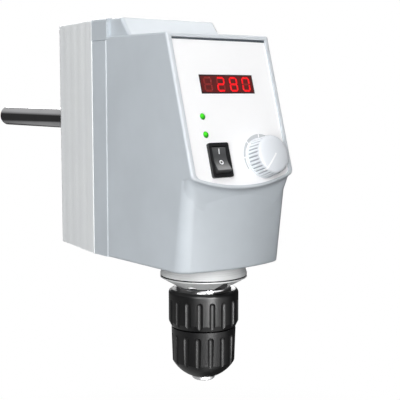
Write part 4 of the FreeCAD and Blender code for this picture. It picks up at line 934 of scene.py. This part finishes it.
def arc(radius: Callable[[float], float], start: float, stop: float, count: int) -> list[Point2]:
    """Gives points along a circle or spiral about the drawing's middle, with angles in degrees."""
    angles = [start + (stop - start) * index / (count - 1) for index in range(count)]
    return [(radius(a) * math.cos(math.radians(a)), radius(a) * math.sin(math.radians(a))) for a in angles]


@dataclass
class Assembly:
    """A group of CAD nodes, listed by the finish that they get, and the pieces that the scene adds."""

    palette: Palette
    finishes: Dressing

    def dress(self, nodes: dict[str, bpy.types.Object]) -> None:
        """Gives the CAD nodes their finishes.

        Args:
            nodes: The CAD nodes by name.
        """
        for finish, names in self.finishes.items():
            for name in names:
                data = nodes[name].data
                data.materials.clear()
                data.materials.append(self.palette[finish])
                LOG.info("node %s has %s", name, finish)

    def build(self) -> None:
        """Adds nothing where the CAD nodes are all that there is."""


@dataclass
class Casing(Assembly):
    """The shells of the housing, the frame, the rod and the power parts at the rear."""

    finishes: Dressing = field(default_factory=lambda: {
        "housing_satin": ("front_housing",), "frame_satin": ("mid_frame", "top_cap"),
        "cover_satin": ("rear_cover",), "dark_steel": ("case_screws", "frame_screws"),
        "board_green": ("power_board",), "contact_brass": ("power_pillars", "inlet_pins"),
        "component_black": ("power_transformer", "power_capacitors"), "switch_black": ("mains_inlet",),
        "rod_chrome": ("support_rod",), "turned_steel": ("rod_collar",)})


@dataclass
class Drive(Assembly):
    """Motor, spindle, bearings, nose and chuck."""

    finishes: Dressing = field(default_factory=lambda: {
        "cast_alloy": ("spindle_carrier", "motor_end_cap"), "lamination": ("stator_core", "rotor_core"),
        "turned_steel": ("motor_can", "spindle", "bearing_outer_rings", "bearing_inner_rings",
                         "chuck_nut", "chuck_jaw_1", "chuck_jaw_2", "chuck_jaw_3"),
        "copper_wire": ("stator_windings",), "magnet_black": ("rotor_magnets",),
        "chuck_chrome": ("bearing_balls",), "turned_aluminium": ("nose_ring",),
        "rubber_black": ("nose_gasket", "nose_seal"), "nose_aluminium": ("nose_cone",),
        "dark_steel": ("nose_screws",), "chuck_core": ("chuck_body",),
        "sleeve_black": ("chuck_upper_sleeve", "chuck_lower_sleeve")})


@dataclass
class Console(Assembly):
    """The sloping panel with its display, lamps, switch and speed control."""

    finishes: Dressing = field(default_factory=lambda: {
        "panel_print": ("control_panel",), "window_red": ("display_window",),
        "component_black": ("display_module", "potentiometer_body"), "lamp_green": ("indicator_leds",),
        "switch_black": ("switch_body",), "rocker_black": ("switch_rocker",), "dark_steel": ("rocker_pin",),
        "turned_steel": ("potentiometer_nut", "potentiometer_shaft"), "knob_white": ("speed_knob",),
        "knob_face": ("knob_cap",), "mark_white": ("knob_pointer",), "board_green": ("control_board",),
        "contact_brass": ("board_pillars",)})
    slope: Slope = field(default_factory=Slope)
    skin: float = 0.00006
    display_drop: float = 0.0327
    display_size: Point2 = (0.043, 0.0121)
    border_width: float = 0.0007
    border_skin: float = 0.6
    digits: str = "-280"
    digit_pitch: float = 0.0103
    digit_size: Point2 = (0.0066, 0.0096)
    digit_drop: float = 0.0001
    stroke: float = 0.00125
    segment_gap: float = 0.00012
    unlit_skin: float = 0.8
    scale_ends: Point2 = (208.0, -28.0)
    scale_divisions: tuple[float, ...] = (175.7, 131.3, 86.9, 42.5, -1.9)
    scale_half_gap: float = 1.6
    scale_radius: float = 0.01315
    scale_width: float = 0.0010
    scale_gain: float = 0.0036
    scale_power: float = 1.15
    scale_points: int = 24
    switch_across: float = -0.0176
    rocker_pivot: float = 0.0005
    rocker_tip: float = math.radians(10.0)
    rocker_floor: float = 0.0020
    dish_radius: float = 0.01708
    print_depth: float = 0.0001
    on_place: float = 0.0051
    on_half: float = 0.0003
    on_length: float = 0.0032
    on_steps: int = 6
    off_place: float = -0.0019
    off_radii: Point2 = (0.00085, 0.0015)
    off_points: int = 48
    panel_half: float = 0.0379
    panel_top: float = 0.0029
    # Widths of the painted shadow strip at its left and right ends
    shadow_left_width: float = 0.0010
    shadow_right_width: float = 0.0014
    dial_ribs: int = 32
    dial_notch: tuple[float, ...] = (1.0, 1.0, 0.6, 0.0, 0.0, 0.0, 0.0, 0.0, 0.6, 1.0)
    notch_depth: float = 0.0009
    dial_sharp: float = math.radians(50.0)
    dial_foot: tuple[Point3, ...] = (
        (0.0, 0.0048, 0.0), (0.0075, 0.0048, 0.0), (0.0075, 0.0006, 0.0), (0.0130, 0.0006, 0.0),
        (0.0133, 0.0009, 0.0), (0.0133, 0.0013, 0.0), (0.0131, 0.0016, 0.0), (0.01294, 0.0018, 0.0),
        (0.01292, 0.0021, 0.7), (0.01288, 0.0025, 1.0))
    dial_dome: tuple[Point3, ...] = (
        (0.01255, 0.0092, 1.0), (0.0125, 0.0101, 0.85), (0.0124, 0.0109, 0.55), (0.0122, 0.0116, 0.25),
        (0.0118, 0.0121, 0.06), (0.0112, 0.0125, 0.0), (0.0100, 0.01295, 0.0), (0.0080, 0.0134, 0.0),
        (0.0060, 0.01375, 0.0), (0.0040, 0.0140, 0.0), (0.0020, 0.01415, 0.0), (0.0, 0.0142, 0.0))
    mark_angle: float = math.radians(221.0)
    mark_half: float = 0.0005
    mark_rise: float = 0.0002

    SEGMENTS = {"0": "abcdef", "2": "abged", "8": "abcdefg", "-": ""}

    def paint_rim_shadow(self) -> None:
        """Lays a dark strip of painted shadow under the top edge of the panel's frame, where the frame's
        inner wall is in shade.
        """
        sheet = Sheet("panel_rim_shadow", self.slope.lay(0.0, self.panel_top))
        half = self.panel_half
        outline = [(-half, 0.0), (-half, -self.shadow_left_width), (half, -self.shadow_right_width), (half, 0.0)]
        sheet.plate(outline, 0.0, self.skin)
        sheet.finish(self.palette["rim_shadow_paint"], Body.HOUSING, "panel_white")

    def segment(self, letter: str, centre: Point2) -> list[Point2]:
        """Corners of one display segment.

        Args:
            letter: The segment, a at the top to f at the upper left and g in the middle.
            centre: The digit's centre.

        Returns:
            The corners.
        """
        width, height = self.digit_size
        half = self.stroke / 2
        gap = self.segment_gap
        x_out, y_out = width / 2 - half, height / 2 - half
        if letter in "adg":
            y = {"a": y_out, "d": -y_out, "g": 0.0}[letter]
            run = x_out - gap
            corners = [(-run, y), (-run + half, y - half), (run - half, y - half), (run, y),
                       (run - half, y + half), (-run + half, y + half)]
        else:
            x = x_out if letter in "bc" else -x_out
            low, high = (gap, y_out - gap) if letter in "bf" else (gap - y_out, -gap)
            corners = [(x, low), (x + half, low + half), (x + half, high - half), (x, high),
                       (x - half, high - half), (x - half, low + half)]
        return [(centre[0] + x, centre[1] + y) for x, y in corners]

    def display(self) -> None:
        """Builds the display's digits and the dark border of its window."""
        lay = self.slope.lay(0.0, self.display_drop)
        lit = Sheet("display_digits", lay)
        dim = Sheet("display_rest", lay)
        middle = (len(self.digits) - 1) / 2
        for index, digit in enumerate(self.digits):
            centre = ((index - middle) * self.digit_pitch, -self.digit_drop)
            for letter in "abcdefg":
                outline = self.segment(letter, centre)
                if letter in self.SEGMENTS[digit]:
                    lit.plate(outline, 0.0, self.skin)
                else:
                    dim.plate(outline, 0.0, self.skin * self.unlit_skin)
        lit.finish(self.palette["segment_lit"], Body.HOUSING, "window_red")
        dim.finish(self.palette["segment_dim"], Body.HOUSING, "window_red")
        border = Sheet("display_border", lay)
        x, y = self.display_size[0] / 2, self.display_size[1] / 2
        edge = self.border_width
        outer = [(-x, -y), (x, -y), (x, y), (-x, y)]
        inner = [(-x + edge, -y + edge), (x - edge, -y + edge), (x - edge, y - edge), (-x + edge, y - edge)]
        border.band(inner, outer, 0.0, self.skin * self.border_skin)
        border.finish(self.palette["switch_black"], Body.HOUSING, "black_plastic")

    def scale(self) -> None:
        """Prints the arc round the speed dial, which widens clockwise and is parted at each division."""
        first, last = self.scale_ends

        def rim(angle: float) -> float:
            """The arc's outer radius at an angle."""
            share = (first - angle) / (first - last)
            return self.scale_radius + (self.scale_width + self.scale_gain * share ** self.scale_power)

        sheet = Sheet("speed_scale", self.slope.lay_dial())
        start = first
        for division in (*self.scale_divisions, last):
            stop = division if division == last else division + self.scale_half_gap
            inner = arc(lambda angle: self.scale_radius, start, stop, self.scale_points)
            sheet.band(inner, arc(rim, start, stop, self.scale_points), 0.0, self.skin, Sweep.OPEN)
            start = division - self.scale_half_gap
        sheet.finish(self.palette["panel_ink"], Body.HOUSING, "panel_white")

    def switch_marks(self) -> None:
        """Prints I and O on the rocker's dished face."""
        sheet = Sheet("switch_marks", self.slope.lay(
            self.switch_across, self.slope.control_drop, -self.rocker_pivot, -self.rocker_tip))
        low, high = -self.print_depth, self.skin
        foot = self.on_place - self.on_length / 2
        steps = [foot + self.on_length * index / self.on_steps for index in range(self.on_steps + 1)]
        left, right = ([(x, y) for y in steps] for x in (-self.on_half, self.on_half))
        sheet.band(left, right, low, high, Sweep.OPEN)
        end = 360.0 * (self.off_points - 1) / self.off_points
        circles = [arc(lambda angle, size=size: size, 0.0, end, self.off_points) for size in self.off_radii]
        inner, outer = ([(x, y + self.off_place) for x, y in circle] for circle in circles)
        sheet.band(inner, outer, low, high)
        bottom = self.rocker_floor + self.dish_radius
        sheet.bend(lambda x, y: bottom - math.sqrt(self.dish_radius ** 2 - y * y))
        sheet.finish(self.palette["mark_white"], Body.ROCKER, "black_plastic")

    def dial(self) -> None:
        """Builds the domed speed dial, whose ribs run out below the dome."""
        dial = Sheet("speed_dial", self.slope.lay_dial())
        notches = [self.notch_depth * part for part in self.dial_notch] * self.dial_ribs
        dial.lathe(self.dial_foot + self.dial_dome, notches)
        dial.round_off(self.dial_sharp)
        piece = dial.finish(self.palette["knob_white"], Body.KNOB, "knob_white")
        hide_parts("speed_knob", "knob_cap")

    def dial_mark(self) -> None:
        """Builds the mark that runs from the dome's middle over its edge."""
        along = (math.sin(self.mark_angle), math.cos(self.mark_angle))
        path = [(radius, height) for radius, height, _ in reversed(self.dial_dome)]
        edges: list[list[Point3]] = [[], [], [], []]
        for index, (radius, height) in enumerate(path):
            before, after = path[max(index - 1, 0)], path[min(index + 1, len(path) - 1)]
            run, fall = after[0] - before[0], before[1] - after[1]
            length = math.hypot(run, fall)
            for edge, (side, out) in zip(edges, ((-1, -1), (1, -1), (1, 1), (-1, 1))):
                reach = radius + out * self.mark_rise * fall / length
                lift = height + out * self.mark_rise * run / length
                aside = side * self.mark_half
                edge.append((along[0] * reach - along[1] * aside, along[1] * reach + along[0] * aside, lift))
        mark = Sheet("dial_mark", self.slope.lay_dial())
        mark.bar(edges, Sweep.OPEN)
        piece = mark.finish(self.palette["mark_white"], Body.KNOB, "panel_white")
        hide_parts("knob_pointer")

    def build(self) -> None:
        """Builds every extra piece of the panel."""
        for step in (self.paint_rim_shadow, self.display, self.scale, self.switch_marks, self.dial, self.dial_mark):
            step()


@dataclass(frozen=True)
class Lamp:
    """One soft box, in metres and watts, which the camera doesn't see."""

    name: str
    place: Point3
    aim: float
    size: Point2
    power: float
    glow: Glow = Glow.FULL

    def hang(self) -> None:
        """Puts the lamp in its place, facing the spindle's axis at the height that it is aimed at."""
        data = bpy.data.lights.new(self.name, "AREA")
        data.shape = "RECTANGLE"
        data.size, data.size_y = self.size
        data.energy = self.power
        light = bpy.data.objects.new(self.name, data)
        light.visible_diffuse = self.glow is Glow.FULL
        light.visible_camera = False
        light.location = self.place
        beam = Vector((0.0, 0.0, self.aim)) - Vector(self.place)
        light.rotation_euler = beam.to_track_quat("-Z", "Y").to_euler()
        bpy.context.scene.collection.objects.link(light)


@dataclass
class Studio:
    """Floor, light and the camera at the photograph's angle."""

    eye: Point3 = (-0.3836, -0.48995, 0.1907)
    yaw: float = 37.84
    pitch: float = -6.46
    lens: float = 85.5
    sensor: float = 36.0
    near: float = 0.01
    dark_side: Point2 = (-0.485, 0.874)
    far_tone: float = 0.06
    fill: float = 0.04
    fill_tint: Colour = (0.95, 0.975, 1.0)
    ceiling: float = 0.75
    ceiling_edge: Point2 = (0.48, 0.66)
    ceiling_lean: float = 0.3
    floor_z: float = -0.16
    floor_half: float = 6.0
    paper: Point2 = (0.95, 0.97)
    paper_grain: float = 30.0
    bench: float = 0.32
    shadow_reach: Point2 = (0.2, 0.5)
    shadow_fade: Point2 = (0.8, 1.0)
    front_turn: Point2 = (-0.55, -0.85)
    rear_turn: Point2 = (0.3, 0.7)
    rear_reach: Point2 = (1.05, 0.85)
    rear_share: float = 0.4
    lamps: tuple[Lamp, ...] = (
        Lamp("key", (-1.33, -1.27, 0.55), 0.14, (1.1, 1.3), 41.0),
        Lamp("top", (-0.15, -0.35, 1.5), 0.16, (0.9, 0.8), 6.0),
        Lamp("glint", (0.8, -0.1, 1.3), 0.16, (0.7, 0.5), 7.5, Glow.GLOSS),
        Lamp("rear", (0.9, 1.5, 0.7), 0.12, (1.0, 1.0), 22.0),
        Lamp("strip", (-0.22, -1.08, 0.0), 0.06, (0.4, 0.6), 21.0, Glow.GLOSS))

    def camera(self) -> None:
        """Sets the camera."""
        data = bpy.data.cameras.new("camera")
        data.lens = self.lens
        data.sensor_width = self.sensor
        data.clip_start = self.near
        camera = bpy.data.objects.new("camera", data)
        camera.location = self.eye
        camera.rotation_euler = Euler((math.radians(90.0 + self.pitch), 0.0, math.radians(-self.yaw)))
        bpy.context.scene.collection.objects.link(camera)
        bpy.context.scene.camera = camera

    def floor_finish(self) -> bpy.types.Material:
        """Paints the floor: white to the camera, with the object's shadow, and dim to metal at the sides.

        Returns:
            The material.
        """
        shader = Shader.material("floor_white")
        x, y, _ = shader.axes(shader.place())
        away = (x * x + y * y).root()
        grain = shader.spread(shader.noise(self.paper_grain), *CLOUDED)
        direct, glossy = shader.looks()
        white = shader.node("ShaderNodeEmission", feeds={"Color": WHITE, "Strength": 1.0})
        dim = shader.node("ShaderNodeEmission", feeds={"Color": WHITE, "Strength": self.far_tone})
        low, high = (toned(WHITE, tone) for tone in self.paper)
        paper = shader.node("ShaderNodeBsdfDiffuse", feeds={"Color": shader.mix(grain, low, high)})
        bench = shader.node("ShaderNodeBsdfDiffuse", feeds={"Color": toned(WHITE, self.bench)})
        seen = shader.blend(shader.spread(away, *self.shadow_reach, *self.shadow_fade), paper, white)
        front = shader.spread(y / away, *self.front_turn)
        rear = shader.spread((x * self.dark_side[0] + y * self.dark_side[1]) / away, *self.rear_turn)
        close = shader.spread(away, *self.rear_reach)
        mirrored = shader.blend(front.most(rear * close * self.rear_share), dim, white)
        other = shader.blend(glossy, bench, mirrored)
        shader.node("ShaderNodeOutputMaterial", feeds={"Surface": shader.blend(direct, other, seen)})
        return shader.owner

    def floor(self) -> None:
        """Lays the pale floor."""
        mesh = bmesh.new()
        bmesh.ops.create_grid(mesh, x_segments=1, y_segments=1, size=self.floor_half)
        data = bpy.data.meshes.new("floor")
        mesh.to_mesh(data)
        mesh.free()
        data.materials.append(self.floor_finish())
        floor = bpy.data.objects.new("floor", data)
        floor.location = (0.0, 0.0, self.floor_z)
        bpy.context.scene.collection.objects.link(floor)

    def room(self) -> None:
        """Fills the room with even light: white to the camera, a bright ceiling over dim walls to metal."""
        world = bpy.data.worlds.new("room")
        shader = Shader(world)
        direct, glossy = shader.looks()

        def wall(strength: float, colour: Colour = WHITE) -> Wire:
            """One plain background."""
            return shader.node("ShaderNodeBackground", feeds={"Color": colour, "Strength": strength})

        x, y, height = shader.axes(shader.node("ShaderNodeTexCoord", out="Generated"))
        rear = x * self.dark_side[0] + y * self.dark_side[1]
        above = shader.spread(height + rear * self.ceiling_lean, *self.ceiling_edge)
        mirrored = shader.blend(above, wall(self.far_tone), wall(self.ceiling))
        other = shader.blend(glossy, wall(self.fill, self.fill_tint), mirrored)
        shader.node("ShaderNodeOutputWorld", feeds={"Surface": shader.blend(direct, other, wall(1.0))})
        bpy.context.scene.world = world

    def build(self) -> None:
        """Sets up the whole studio."""
        self.camera()
        self.room()
        self.floor()
        for lamp in self.lamps:
            lamp.hang()
        bpy.context.scene.view_settings.view_transform = "Standard"


def corners(bounds: Iterable[Sequence[float]]) -> list[list[float]]:
    """Turns a box into plain lists of numbers."""
    return [[float(value) for value in corner] for corner in bounds]


def main() -> None:
    """Loads the frame and builds each sub-assembly in order."""
    logging.basicConfig(level=logging.INFO, format="%(message)s")
    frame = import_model()
    palette = Palette()
    Studio().build()
    for assembly in (Casing(palette), Drive(palette), Console(palette)):
        assembly.dress(frame["nodes"])
        assembly.build()


if __name__ == "__main__":
    main()
